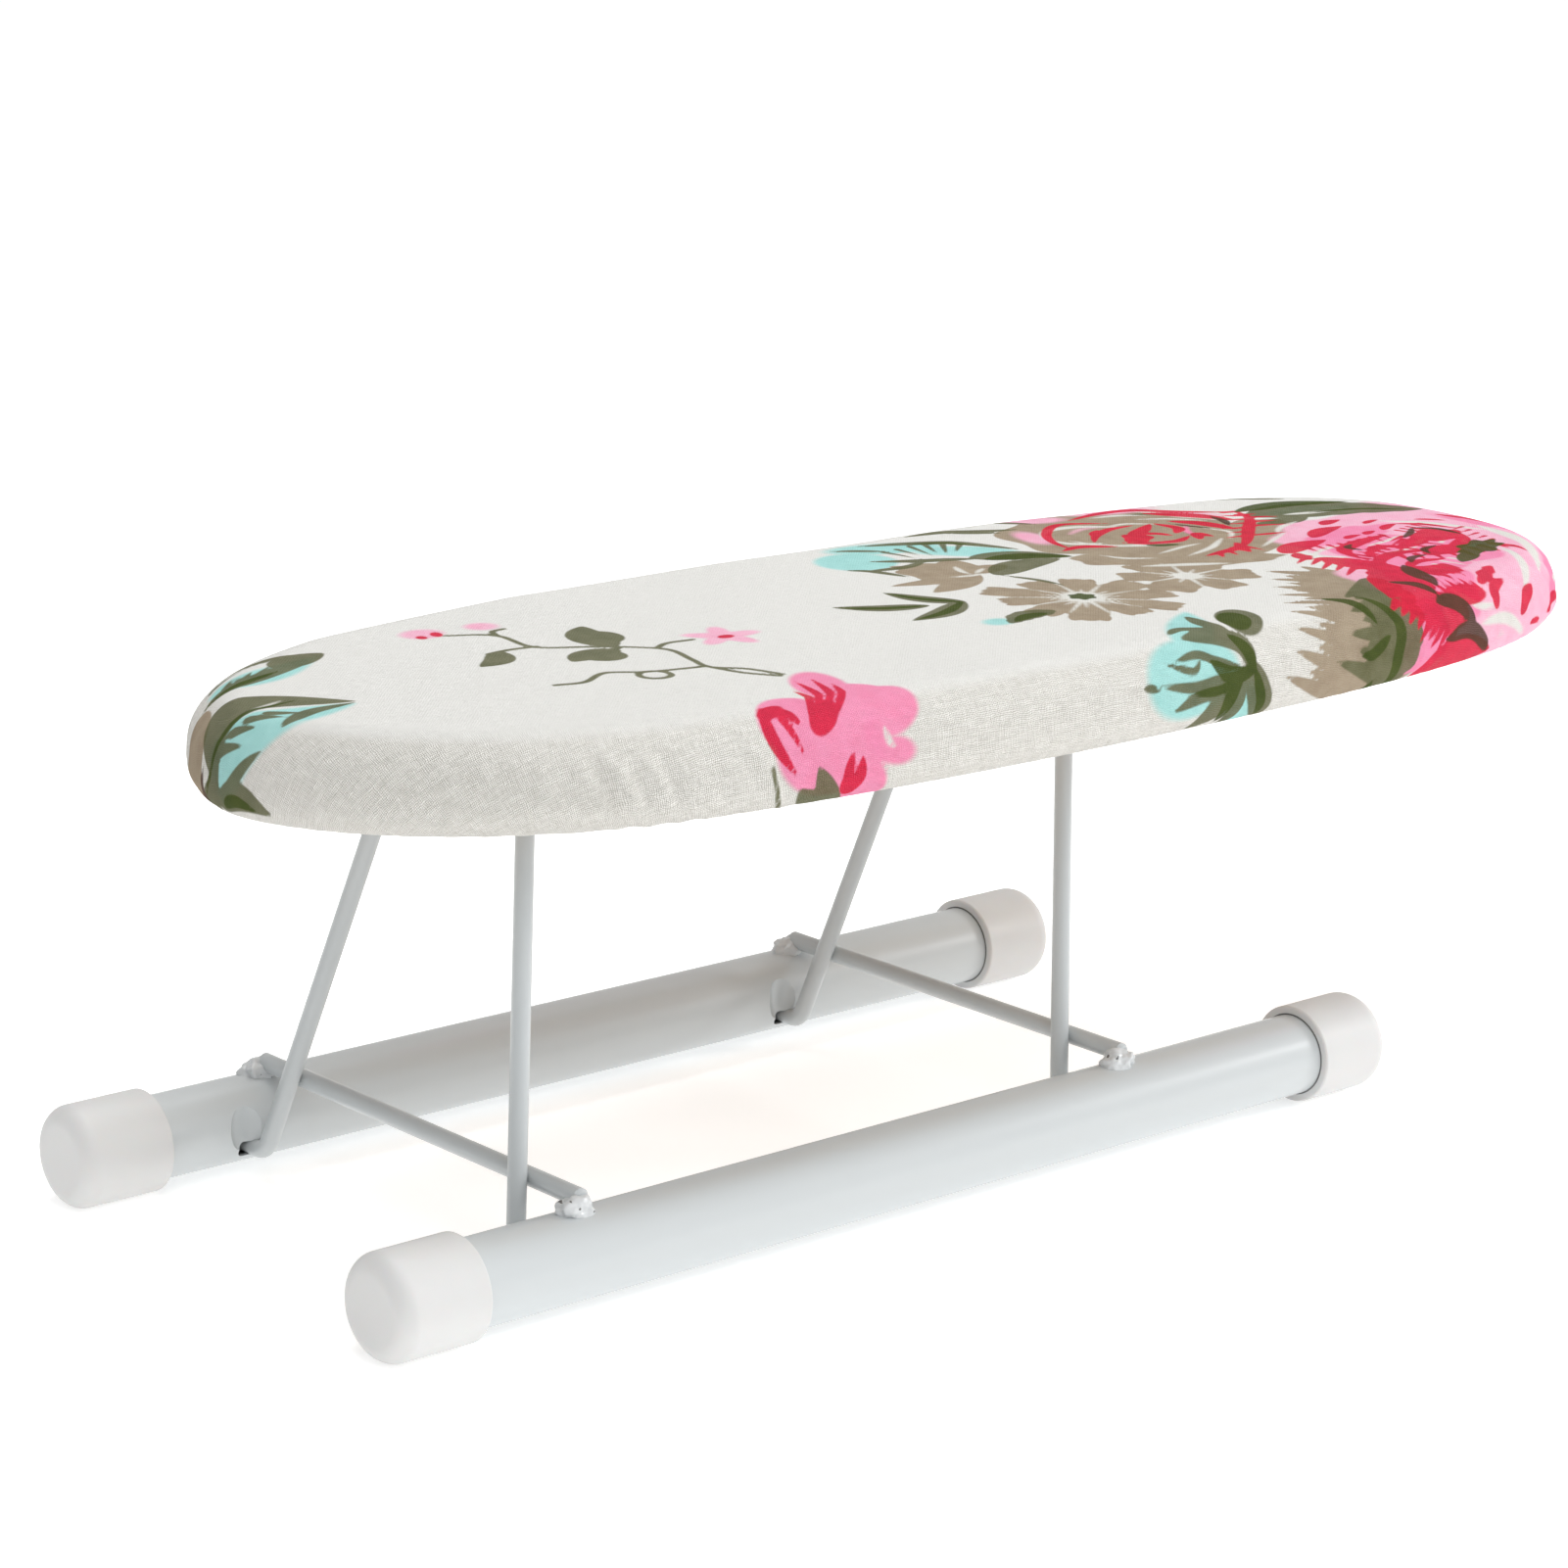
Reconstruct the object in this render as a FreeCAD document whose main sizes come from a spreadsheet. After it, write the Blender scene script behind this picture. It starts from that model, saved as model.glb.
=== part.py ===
"""Tabletop folding sleeve ironing board: a padded board on two wire leg frames and two foot rails.

Frame: +X runs along the board from its pointed nose to its blunt tail, +Y to the rear, +Z up. The
origin is on the floor at the middle of the object's length and width. Lengths are millimetres.
Sizes whose names end in _at are measured along X from the left end of the foot rails.
"""

import FreeCAD, Part
import Sketcher
import math
import os

SIZES = (
    # Foot rails and their end caps
    ("rail_span", 382.0, "rail length over its two end caps"),
    ("rail_gauge", 150.7, "distance between the rail centres"),
    ("tube_od", 25.0, "rail tube outer diameter"),
    ("tube_wall", 1.2, "rail tube wall"),
    ("cap_wall", 2.65, "end cap wall"),
    ("cap_length", 29.0, "end cap length"),
    ("cap_floor", 3.0, "thickness of the cap's closed end"),
    ("cap_play", 0.05, "radial gap between cap and tube"),
    ("cap_edge_radius", 5.7, "rounding of the cap's outer end"),
    ("cap_mouth_radius", 0.7, "rounding of the cap's mouth"),
    # Dents in the inner side of the rails, where the legs enter
    ("dent_half_length", 7.0, "half length of a dent along the rail"),
    ("dent_half_height", 13.0, "half height of a dent"),
    ("dent_half_width", 8.0, "half width of the dent's ball across the rail"),
    ("dent_depth", 3.0, "depth of a dent at its middle"),
    ("dent_before_pivot", 4.5, "how far a dent's middle lies before the leg pivot"),
    ("dent_above_axis", 1.8, "height of a dent's middle above the rail axis"),
    # Leg frames
    ("wire_dia", 5.5, "leg wire diameter"),
    ("left_pivot_at", 60.0, "left leg pivot"),
    ("right_pivot_at", 267.2, "right leg pivot"),
    ("pivot_drop", 6.0, "leg pivots below the rail axis"),
    ("pivot_play", 0.08, "radial gap round a wire in its pivot"),
    ("slot_reach", 4.0, "how far the leg hole runs on before the pivot"),
    ("slot_width", 4.6, "width of that part of the leg hole"),
    ("lean", 12.2, "open leg frame's lean towards the tail, degrees"),
    ("foot_gap", 0.6, "gap between a leg and the rail's inner face at the pivot"),
    ("bar_half_span", 30.1, "where a leg's line meets the top bar's axis, from the middle"),
    ("foot_bend_radius", 4.5, "wire bend at a leg's foot, on the centre line"),
    ("top_bend_radius", 8.0, "wire bend at a leg's top, on the centre line"),
    ("pin_length", 9.0, "straight end of the wire inside the rail"),
    ("wire_end_radius", 0.8, "rounding of the wire's cut ends"),
    # Cross rods and the weld saddles under their ends
    ("rod_dia", 5.5, "cross rod diameter"),
    ("rod_overhang", 0.15, "how far a rod's end passes the rail axis"),
    ("rod_end_chamfer", 0.8, "chamfer of the rod's cut ends"),
    ("rod_leg_gap", 0.1, "gap between a cross rod and the leg that leans on it"),
    ("rod_seat", 0.25, "weld thickness between a rod and the rail's top"),
    ("saddle_foot_dia", 17.0, "weld saddle diameter at the foot of its cone"),
    ("saddle_top_dia", 7.6, "weld saddle diameter at its top"),
    ("saddle_sink", 5.0, "how far the saddle's cone starts under the rail's top"),
    # Board outline, as the poles of one side's spline
    ("nose_at", 5.5, "pointed nose"),
    ("nose_half", 13.5, "half width of the nose pole"),
    ("shoulder_back", 26.5, "shoulder pole behind the nose"),
    ("shoulder_half", 89.0, "half width of the shoulder pole"),
    ("waist_at", 279.0, "middle pole"),
    ("waist_half", 95.5, "half width of the middle pole"),
    ("flank_ahead", 25.5, "tail flank pole ahead of the tail"),
    ("flank_half", 81.5, "half width of the tail flank pole"),
    ("tail_at", 514.5, "blunt tail"),
    ("tail_half", 35.0, "half width of the tail pole"),
    # Board layers
    ("skirt_height", 130.7, "underside of the cover above the floor"),
    ("board_thick", 28.0, "board thickness over its cover"),
    ("top_edge_radius", 15.0, "rounding of the covered board's top edge"),
    ("low_edge_radius", 9.0, "rounding of the covered board's lower edge"),
    ("cloth", 0.8, "cover thickness"),
    ("layer_gap", 0.2, "gap between the board's layers"),
    ("deck_inset", 4.0, "deck outline inside the cover outline"),
    ("deck_thick", 8.0, "deck thickness"),
    ("deck_edge_radius", 3.8, "rounding of the deck's lower edge"),
    ("hem_width", 25.0, "width of cover turned under the deck"),
    ("elastic", 2.5, "side of the hem elastic's square section"),
    ("elastic_edge_radius", 0.8, "rounding of the hem elastic"),
    # Saddle clips that hold the top bars, and their screws
    ("clip_spacing", 34.0, "distance between the two clips on a bar"),
    ("clip_width", 10.0, "clip strap width"),
    ("clip_thick", 1.2, "clip strap thickness"),
    ("clip_ear", 9.0, "length of each flat ear of a clip"),
    ("clip_corner_radius", 2.0, "rounding of an ear's corners"),
    ("bar_gap", 0.15, "gap between a top bar and the deck"),
    ("screw_dia", 3.2, "screw shank diameter"),
    ("screw_play", 0.02, "radial gap round a screw shank"),
    ("screw_depth", 6.5, "how deep a screw goes into the deck"),
    ("screw_point", 1.5, "length of a screw's point"),
    ("head_dia", 6.4, "screw head diameter"),
    ("head_height", 1.8, "screw head height"),
    ("head_radius", 0.9, "rounding of the screw head"),
)

ENDS = ("left", "right")
SIDES = (("front", -1), ("rear", 1))

# Places worked out from the sizes, as expressions that objects and functions share.
MIDDLE = "(Sizes.tail_at / 2)"
RAIL_Y = "(Sizes.rail_gauge / 2)"
TUBE_R = "(Sizes.tube_od / 2)"
CAP_R = f"({TUBE_R} + Sizes.cap_play + Sizes.cap_wall)"
RAIL_Z = CAP_R
PIVOT_Z = f"({RAIL_Z} - Sizes.pivot_drop)"
INNER_FACE = "(Sizes.rail_gauge / 2 - Sizes.tube_od / 2)"
ROD_Z = f"({RAIL_Z} + {TUBE_R} + Sizes.rod_seat + Sizes.rod_dia / 2)"
DECK_Z = "(Sizes.skirt_height + Sizes.cloth + Sizes.layer_gap)"
BAR_Z = f"({DECK_Z} - Sizes.bar_gap - Sizes.wire_dia / 2)"
BAR_RISE = f"({BAR_Z} - {PIVOT_Z})"
FOOT_Y = f"({INNER_FACE} - Sizes.wire_dia / 2 - Sizes.foot_gap)"
CLIP_R = "(Sizes.wire_dia / 2 + Sizes.pivot_play)"

doc = FreeCAD.newDocument("sleeve_board")
sheet = doc.addObject("Spreadsheet::Sheet", "Sizes")
parts = []


def fill_sheet():
    """Writes one row per driving size: its value, with its alias, and what it means."""
    for row, (alias, number, meaning) in enumerate(SIZES, start=1):
        sheet.set(f"A{row}", meaning)
        sheet.set(f"B{row}", str(number))
        sheet.setAlias(f"B{row}", alias)
    doc.recompute()


def value(expression):
    """The number that an expression of sheet cells gives."""
    return float(sheet.evalExpression(str(expression)))


def pivot_x(end):
    """Expression for a leg pivot's X in the object's frame."""
    return f"(Sizes.{end}_pivot_at - {MIDDLE})"


def bar_x(end):
    """Expression for the X of an open leg frame's top bar."""
    return f"({pivot_x(end)} + {BAR_RISE} * tan(Sizes.lean * 1deg))"


def rod_x(end):
    """Expression for a cross rod's X: it touches the tail side of the leaning leg."""
    along = f"({ROD_Z} - {PIVOT_Z}) * tan(Sizes.lean * 1deg)"
    off = "(Sizes.wire_dia / 2 + Sizes.rod_dia / 2 + Sizes.rod_leg_gap) / cos(Sizes.lean * 1deg)"
    return f"({pivot_x(end)} + {along} + {off})"


def add(kind, name, **bound):
    """Adds an object and binds each named property to its expression."""
    thing = doc.addObject(kind, name)
    for prop, expression in bound.items():
        thing.setExpression(prop, str(expression))
    return thing


def place(thing, x=0, y=0, z=0, axis=None, angle=0.0):
    """Sets an object's turn, then binds its place to three expressions."""
    if axis:
        thing.Placement.Rotation = FreeCAD.Rotation(FreeCAD.Vector(*axis), angle)
    for letter, expression in zip("xyz", (x, y, z)):
        thing.setExpression(f"Placement.Base.{letter}", str(expression))
    return thing


def cut(name, base, tool):
    """Base minus tool."""
    thing = doc.addObject("Part::Cut", name)
    thing.Base = base
    thing.Tool = tool
    return thing


def fuse(name, things):
    """All the things joined into one solid."""
    thing = doc.addObject("Part::MultiFuse", name)
    thing.Shapes = things
    return thing


def fillet(name, base, radii):
    """Rounds base's edges: radii is a list of (test, radius), a test takes an edge."""
    doc.recompute()
    thing = doc.addObject("Part::Fillet", name)
    thing.Base = base
    edges = []
    for number, edge in enumerate(base.Shape.Edges, start=1):
        for test, radius in radii:
            if test(edge):
                edges.append((number, radius, radius))
    thing.Edges = edges
    return thing


def done(thing, node):
    """Marks an object as a sub-part that is written under the node's name."""
    thing.Label = node
    parts.append(thing)


def origin_plane(body, role):
    """One of a body's own origin planes."""
    return next(plane for plane in body.Origin.OriginFeatures if plane.Role == role)


def sketch_on(body, role, name):
    """A sketch on one of the body's origin planes."""
    sketch = body.newObject("Sketcher::SketchObject", name)
    sketch.AttachmentSupport = [(origin_plane(body, role), "")]
    sketch.MapMode = "FlatFace"
    return sketch


def polygon(sketch, points):
    """Draws a closed polygon and fixes each corner to a pair of expressions.

    points is a list of (horizontal, vertical) expressions. A corner on an axis is given as "0"
    and is held on that axis."""
    numbers = [(value(u), value(v)) for u, v in points]
    count = len(points)
    for i in range(count):
        start = FreeCAD.Vector(*numbers[i], 0)
        end = FreeCAD.Vector(*numbers[(i + 1) % count], 0)
        sketch.addGeometry(Part.LineSegment(start, end), False)
    for i in range(count):
        sketch.addConstraint(Sketcher.Constraint("Coincident", i, 2, (i + 1) % count, 1))
    for i, (pair, at) in enumerate(zip(points, numbers)):
        for kind, expression, number in zip(("DistanceX", "DistanceY"), pair, at):
            index = sketch.addConstraint(Sketcher.Constraint(kind, -1, 1, i, 1, number))
            sketch.setExpression(f"Constraints[{index}]", expression)


def circle(sketch, x, y, radius):
    """Draws a circle whose centre and radius are expressions."""
    centre = FreeCAD.Vector(value(x), value(y), 0)
    index = sketch.addGeometry(Part.Circle(centre, FreeCAD.Vector(0, 0, 1), value(radius)), False)
    rules = (
        (Sketcher.Constraint("DistanceX", -1, 1, index, 3, centre.x), x),
        (Sketcher.Constraint("DistanceY", -1, 1, index, 3, centre.y), y),
        (Sketcher.Constraint("Radius", index, value(radius)), radius),
    )
    for rule, expression in rules:
        number = sketch.addConstraint(rule)
        sketch.setExpression(f"Constraints[{number}]", expression)


def revolve(body, sketch, name):
    """Turns a sketch once round its own vertical axis."""
    turned = body.newObject("PartDesign::Revolution", name)
    turned.Profile = sketch
    turned.ReferenceAxis = (sketch, ["V_Axis"])
    turned.Angle = 360.0
    sketch.Visibility = False
    return turned


def round_edges(body, base, name, radius, test):
    """A PartDesign fillet, bound to one size, on the edges that pass the test."""
    doc.recompute()
    chosen = [f"Edge{i}" for i, edge in enumerate(base.Shape.Edges, start=1) if test(edge)]
    rounded = body.newObject("PartDesign::Fillet", name)
    rounded.Base = (base, chosen)
    rounded.setExpression("Radius", radius)
    return rounded


def along_x(name, radius, length, x, y, z):
    """A cylinder along +X that starts at x."""
    rod = add("Part::Cylinder", name, Radius=radius, Height=length)
    return place(rod, x, y, z, axis=(0, 1, 0), angle=90)


def along_y(name, radius, length, x, y, z):
    """A cylinder along +Y that starts at y."""
    rod = add("Part::Cylinder", name, Radius=radius, Height=length)
    return place(rod, x, y, z, axis=(1, 0, 0), angle=-90)


def ball(name, x, y, extra):
    """A dent's ellipsoid, grown by the extra expression all round."""
    grown = {
        "Radius1": f"Sizes.dent_half_height + {extra}",
        "Radius2": f"Sizes.dent_half_length + {extra}",
        "Radius3": f"Sizes.dent_half_width + {extra}",
    }
    shape = add("Part::Ellipsoid", name, **grown)
    return place(shape, x, y, f"{RAIL_Z} + Sizes.dent_above_axis")


def leg_hole(name, end, sign):
    """The tool that punches a leg's hole: round at the pivot, with a narrower slot before it."""
    depth = "Sizes.dent_half_width"
    face = f"({INNER_FACE} - 1)"
    start = face if sign > 0 else f"(-{face} - {depth})"
    x = pivot_x(end)
    z = PIVOT_Z
    bore = along_y(f"{name}_bore", CLIP_R, depth, x, start, z)
    far = f"{x} - Sizes.slot_reach"
    tip = along_y(f"{name}_tip", "Sizes.slot_width / 2", depth, far, start, z)
    slot = add(
        "Part::Box",
        f"{name}_slot",
        Length="Sizes.slot_reach",
        Width=depth,
        Height="Sizes.slot_width",
    )
    place(slot, far, start, f"{z} - Sizes.slot_width / 2")
    return fuse(name, [bore, tip, slot])


def make_rail(side, sign):
    """A foot rail: a tube, dented where each leg enters, with a punched hole low in each dent."""
    node = f"rail_{side}"
    length = "Sizes.rail_span - 2 * Sizes.cap_floor"
    start = f"Sizes.cap_floor - {MIDDLE}"
    y = f"{sign} * {RAIL_Y}"
    dent_y = f"{sign} * ({INNER_FACE} - Sizes.dent_half_width + Sizes.dent_depth)"
    skin = along_x(f"{node}_skin", TUBE_R, length, start, y, RAIL_Z)
    bore = along_x(f"{node}_bore", f"{TUBE_R} - Sizes.tube_wall", length, start, y, RAIL_Z)
    holes = []
    for end in ENDS:
        x = f"{pivot_x(end)} - Sizes.dent_before_pivot"
        skin = cut(f"{node}_skin_{end}", skin, ball(f"{node}_dent_{end}", x, dent_y, "0"))
        inner = ball(f"{node}_dent_{end}_back", x, dent_y, "Sizes.tube_wall")
        bore = cut(f"{node}_bore_{end}", bore, inner)
        holes.append(leg_hole(f"{node}_hole_{end}", end, sign))
    hollow = cut(f"{node}_tube", skin, bore)
    done(cut(node, hollow, fuse(f"{node}_holes", holes)), node)


def make_end_cap(side, sign, end):
    """A slip-over cap: a cup with a rounded closed end, turned about the rail's axis."""
    node = f"end_cap_{side}_{end}"
    body = doc.addObject("PartDesign::Body", node)
    sketch = sketch_on(body, "XZ_Plane", f"{node}_half")
    bore = f"({TUBE_R} + Sizes.cap_play)"
    rim = CAP_R
    corners = (
        ("0", "0"),
        (rim, "0"),
        (rim, "Sizes.cap_length"),
        (bore, "Sizes.cap_length"),
        (bore, "Sizes.cap_floor"),
        ("0", "Sizes.cap_floor"),
    )
    polygon(sketch, corners)
    cup = revolve(body, sketch, f"{node}_cup")
    outer = value(rim)

    def at_end(edge):
        return is_ring(edge, outer, 0)

    def at_mouth(edge):
        return is_ring(edge, outer, value("Sizes.cap_length"))

    crown = round_edges(body, cup, f"{node}_crown", "Sizes.cap_edge_radius", at_end)
    body.Tip = round_edges(body, crown, f"{node}_mouth", "Sizes.cap_mouth_radius", at_mouth)
    turn = 90 if end == "left" else -90
    x = f"-{MIDDLE}" if end == "left" else f"Sizes.rail_span - {MIDDLE}"
    place(body, x, f"{sign} * {RAIL_Y}", RAIL_Z, axis=(0, 1, 0), angle=turn)
    done(body, node)


def is_ring(edge, radius, height):
    """True for a full circle about the Z axis with this radius, at this height."""
    if not isinstance(edge.Curve, Part.Circle):
        return False
    same_size = abs(edge.Curve.Radius - radius) < 1e-4
    return same_size and abs(edge.Curve.Center.z - height) < 1e-4


def make_cross_rod(end):
    """A rod across both rails with chamfered ends."""
    node = f"cross_rod_{end}"
    reach = f"({RAIL_Y} + Sizes.rod_overhang)"
    bar = f"{node}_bar"
    rod = along_y(bar, "Sizes.rod_dia / 2", f"2 * {reach}", rod_x(end), f"-{reach}", ROD_Z)
    doc.recompute()
    chamfered = doc.addObject("Part::Chamfer", node)
    chamfered.Base = rod
    size = value("Sizes.rod_end_chamfer")
    rings = [i for i, edge in enumerate(rod.Shape.Edges, 1) if isinstance(edge.Curve, Part.Circle)]
    chamfered.Edges = [(i, size, size) for i in rings]
    done(chamfered, node)


def make_weld_saddle(side, sign, end):
    """The lump under a rod's end: a cone on the rail's top, cut to fit the tube and the rod."""
    node = f"weld_saddle_{side}_{end}"
    rise = "(Sizes.saddle_sink + Sizes.rod_seat + Sizes.rod_dia / 2)"
    base = f"({RAIL_Z} + {TUBE_R} - Sizes.saddle_sink)"
    y = f"{sign} * {RAIL_Y}"
    cone = add(
        "Part::Cone",
        f"{node}_cone",
        Radius1="Sizes.saddle_foot_dia / 2",
        Radius2="Sizes.saddle_top_dia / 2",
        Height=rise,
    )
    place(cone, rod_x(end), y, base)
    span = "2 * Sizes.saddle_foot_dia"
    start = f"{rod_x(end)} - Sizes.saddle_foot_dia"
    tube = along_x(f"{node}_tube", TUBE_R, span, start, y, RAIL_Z)
    low = f"{y} - Sizes.saddle_foot_dia"
    rod = along_y(f"{node}_rod", "Sizes.rod_dia / 2", span, rod_x(end), low, ROD_Z)
    done(cut(node, cut(f"{node}_on_tube", cone, tube), rod), node)


def rounded_path(points, radii):
    """A wire through the points in the YZ plane, with an arc of each inner point's radius."""
    here = points[0]
    edges = []
    for i in range(1, len(points) - 1):
        corner = points[i]
        back = (points[i - 1] - corner).normalize()
        ahead = (points[i + 1] - corner).normalize()
        half = (math.pi - back.getAngle(ahead)) / 2
        reach = radii[i - 1] * math.tan(half)
        first = corner + back * reach
        last = corner + ahead * reach
        inward = (back + ahead).normalize()
        middle = corner + inward * (radii[i - 1] / math.cos(half) - radii[i - 1])
        edges.append(Part.LineSegment(here, first).toShape())
        edges.append(Part.Arc(first, middle, last).toShape())
        here = last
    edges.append(Part.LineSegment(here, points[-1]).toShape())
    return Part.Wire(edges)


def make_leg_frame(end):
    """A leg frame: one wire from pin to pin, bent at both feet and at both ends of its top bar.

    It is drawn upright on its pivot axis and then leant over."""
    node = f"leg_frame_{end}"
    lean = math.radians(value("Sizes.lean"))
    rise = value(BAR_RISE) / math.cos(lean)
    foot = value(FOOT_Y)
    head = value("Sizes.bar_half_span")
    splay = math.atan2(foot - head, rise)
    foot_radius = value("Sizes.foot_bend_radius")
    top_radius = value("Sizes.top_bend_radius")
    pin_start = foot + foot_radius * math.tan(math.radians(45) - splay / 2)
    reach = pin_start + value("Sizes.pin_length")
    half = ((reach, 0), (foot, 0), (head, rise))
    points = [FreeCAD.Vector(0, -y, z) for y, z in half]
    points += [FreeCAD.Vector(0, y, z) for y, z in reversed(half)]
    path = rounded_path(points, (foot_radius, top_radius, top_radius, foot_radius))
    spine = doc.addObject("Part::Feature", f"{node}_path")
    spine.Shape = path
    section = add("Part::Circle", f"{node}_section", Radius="Sizes.wire_dia / 2")
    place(section, 0, -reach, 0, axis=(1, 0, 0), angle=-90)
    swept = doc.addObject("Part::Sweep", f"{node}_wire")
    swept.Sections = [section]
    swept.Spine = (spine, [f"Edge{i + 1}" for i in range(len(path.Edges))])
    swept.Solid = True

    def at_cut_end(edge):
        return abs(abs(edge.CenterOfMass.y) - reach) < 1e-3 and edge.Closed

    frame = fillet(node, swept, [(at_cut_end, value("Sizes.wire_end_radius"))])
    place(frame, pivot_x(end), 0, PIVOT_Z, axis=(0, 1, 0), angle=value("Sizes.lean"))
    done(frame, node)


def outline_poles():
    """The poles of the rear side's spline, from nose to tail, both ends on the middle line."""
    places = (
        ("Sizes.nose_at", "0"),
        ("Sizes.nose_at", "Sizes.nose_half"),
        ("Sizes.nose_at + Sizes.shoulder_back", "Sizes.shoulder_half"),
        ("Sizes.waist_at", "Sizes.waist_half"),
        ("Sizes.tail_at - Sizes.flank_ahead", "Sizes.flank_half"),
        ("Sizes.tail_at", "Sizes.tail_half"),
        ("Sizes.tail_at", "0"),
    )
    return [FreeCAD.Vector(value(f"{x} - {MIDDLE}"), value(y), 0) for x, y in places]


def drawn_in(poles, inset):
    """The poles with every leg of their polygon moved inward by the inset."""
    legs = []
    for start, end in zip(poles, poles[1:]):
        along = (end - start).normalize()
        inward = FreeCAD.Vector(along.y, -along.x, 0)
        legs.append((start + inward * inset, along))
    moved = [FreeCAD.Vector(legs[0][0].x, 0, 0)]
    for (first, along), (second, beyond) in zip(legs, legs[1:]):
        gap = second - first
        turn = along.x * beyond.y - along.y * beyond.x
        moved.append(first + along * ((gap.x * beyond.y - gap.y * beyond.x) / turn))
    moved.append(FreeCAD.Vector(legs[-1][0].x, 0, 0))
    return moved


def make_outline(name, inset):
    """The board's outline, drawn in by an inset: one spline a side, joined at nose and tail."""
    poles = drawn_in(outline_poles(), inset)
    spans = len(poles) - 3
    knots = [i / spans for i in range(spans + 1)]
    times = [4] + [1] * (spans - 1) + [4]
    sides = []
    for sign in (1, -1):
        points = [FreeCAD.Vector(pole.x, sign * pole.y, 0) for pole in poles]
        curve = Part.BSplineCurve()
        curve.buildFromPolesMultsKnots(points, times, knots, False, 3)
        sides.append(curve.toShape())
    outline = doc.addObject("Part::Feature", name)
    outline.Shape = Part.Wire([sides[0], sides[1].reversed()])
    return outline


def slab(name, inset, low, high):
    """The board's outline, drawn in by inset, as a solid from height low to height high."""
    prism = add("Part::Extrusion", name, LengthFwd=f"({high}) - ({low})")
    prism.Base = make_outline(f"{name}_outline", value(inset))
    prism.DirMode = "Custom"
    prism.Dir = FreeCAD.Vector(0, 0, 1)
    prism.Solid = True
    return place(prism, 0, 0, low)


def rounded_slab(name, inset, low, high, top_radius, low_radius):
    """A slab with its top and lower edges rounded. A radius of 0 leaves an edge sharp."""
    prism = slab(f"{name}_slab", inset, low, high)
    levels = ((value(high), top_radius), (value(low), low_radius))
    radii = []
    for level, radius in levels:
        if radius > 0:
            radii.append((lambda edge, z=level: is_level(edge, z), radius))
    return fillet(name, prism, radii)


def is_level(edge, height):
    """True for an edge that lies flat at this height."""
    box = edge.BoundBox
    return abs(box.ZMin - height) < 1e-3 and abs(box.ZMax - height) < 1e-3


def make_board():
    """The board's layers: deck, pad, cover and the elastic in the cover's hem."""
    top = "(Sizes.skirt_height + Sizes.board_thick)"
    top_radius = value("Sizes.top_edge_radius")
    spare = value("Sizes.board_thick") - top_radius - value("Sizes.cloth")
    low_radius = min(value("Sizes.low_edge_radius"), spare)
    make_cover(top, top_radius, low_radius)
    make_pad(top, top_radius, low_radius)
    make_deck()
    make_elastic()


def make_cover(top, top_radius, low_radius):
    """The cover: a thin shell over the pad and round its edge, open under the deck."""
    cloth = value("Sizes.cloth")
    low = "Sizes.skirt_height"
    outer = rounded_slab("cover_outer", "0", low, top, top_radius, low_radius)
    cavity = rounded_slab(
        "cover_cavity",
        "Sizes.cloth",
        f"({low} + Sizes.cloth)",
        f"({top} - Sizes.cloth)",
        top_radius - cloth,
        low_radius - cloth,
    )
    mouth = slab("cover_mouth", "Sizes.hem_width", f"{low} - 1", DECK_Z)
    done(cut("cover", cut("cover_shell", outer, cavity), mouth), "cover")


def make_pad(top, top_radius, low_radius):
    """The pad: it fills the cover above the deck and wraps down round the deck's edge."""
    layer = value("Sizes.cloth + Sizes.layer_gap")
    filling = rounded_slab(
        "pad_outer",
        "(Sizes.cloth + Sizes.layer_gap)",
        DECK_Z,
        f"({top} - Sizes.cloth - Sizes.layer_gap)",
        top_radius - layer,
        low_radius - layer,
    )
    seat_top = f"({DECK_Z} + Sizes.deck_thick + Sizes.layer_gap)"
    seat_inset = "(Sizes.deck_inset - Sizes.layer_gap)"
    seat = slab("pad_seat", seat_inset, "Sizes.skirt_height - 1", seat_top)
    done(cut("pad", filling, seat), "pad")


def clip_places():
    """Each clip's name ending with the expressions for its X and Y."""
    for end in ENDS:
        for side, sign in SIDES:
            yield f"{end}_{side}", bar_x(end), f"{sign} * Sizes.clip_spacing / 2"


def ear_middle():
    """Expression for the distance from a clip's bar axis to its screw."""
    return f"({CLIP_R} + Sizes.clip_thick + Sizes.clip_ear / 2)"


def screw_places():
    """Each screw's name with the expressions for its X and Y."""
    for ending, x, y in clip_places():
        for number, sign in enumerate((-1, 1), start=1):
            yield f"screw_{ending}_{number}", f"{x} + {sign} * {ear_middle()}", y


def make_deck():
    """The deck: a stiff board with a rounded lower edge and a pilot hole for each screw."""
    high = f"({DECK_Z} + Sizes.deck_thick)"
    blank = rounded_slab(
        "deck_blank", "Sizes.deck_inset", DECK_Z, high, 0, value("Sizes.deck_edge_radius")
    )
    holes = []
    for name, x, y in screw_places():
        hole = add(
            "Part::Cylinder",
            f"{name}_hole",
            Radius="Sizes.screw_dia / 2 + Sizes.screw_play",
            Height="Sizes.screw_depth + Sizes.screw_play + 1",
        )
        holes.append(place(hole, x, y, f"{DECK_Z} - 1"))
    done(cut("deck", blank, fuse("deck_holes", holes)), "deck")


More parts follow.
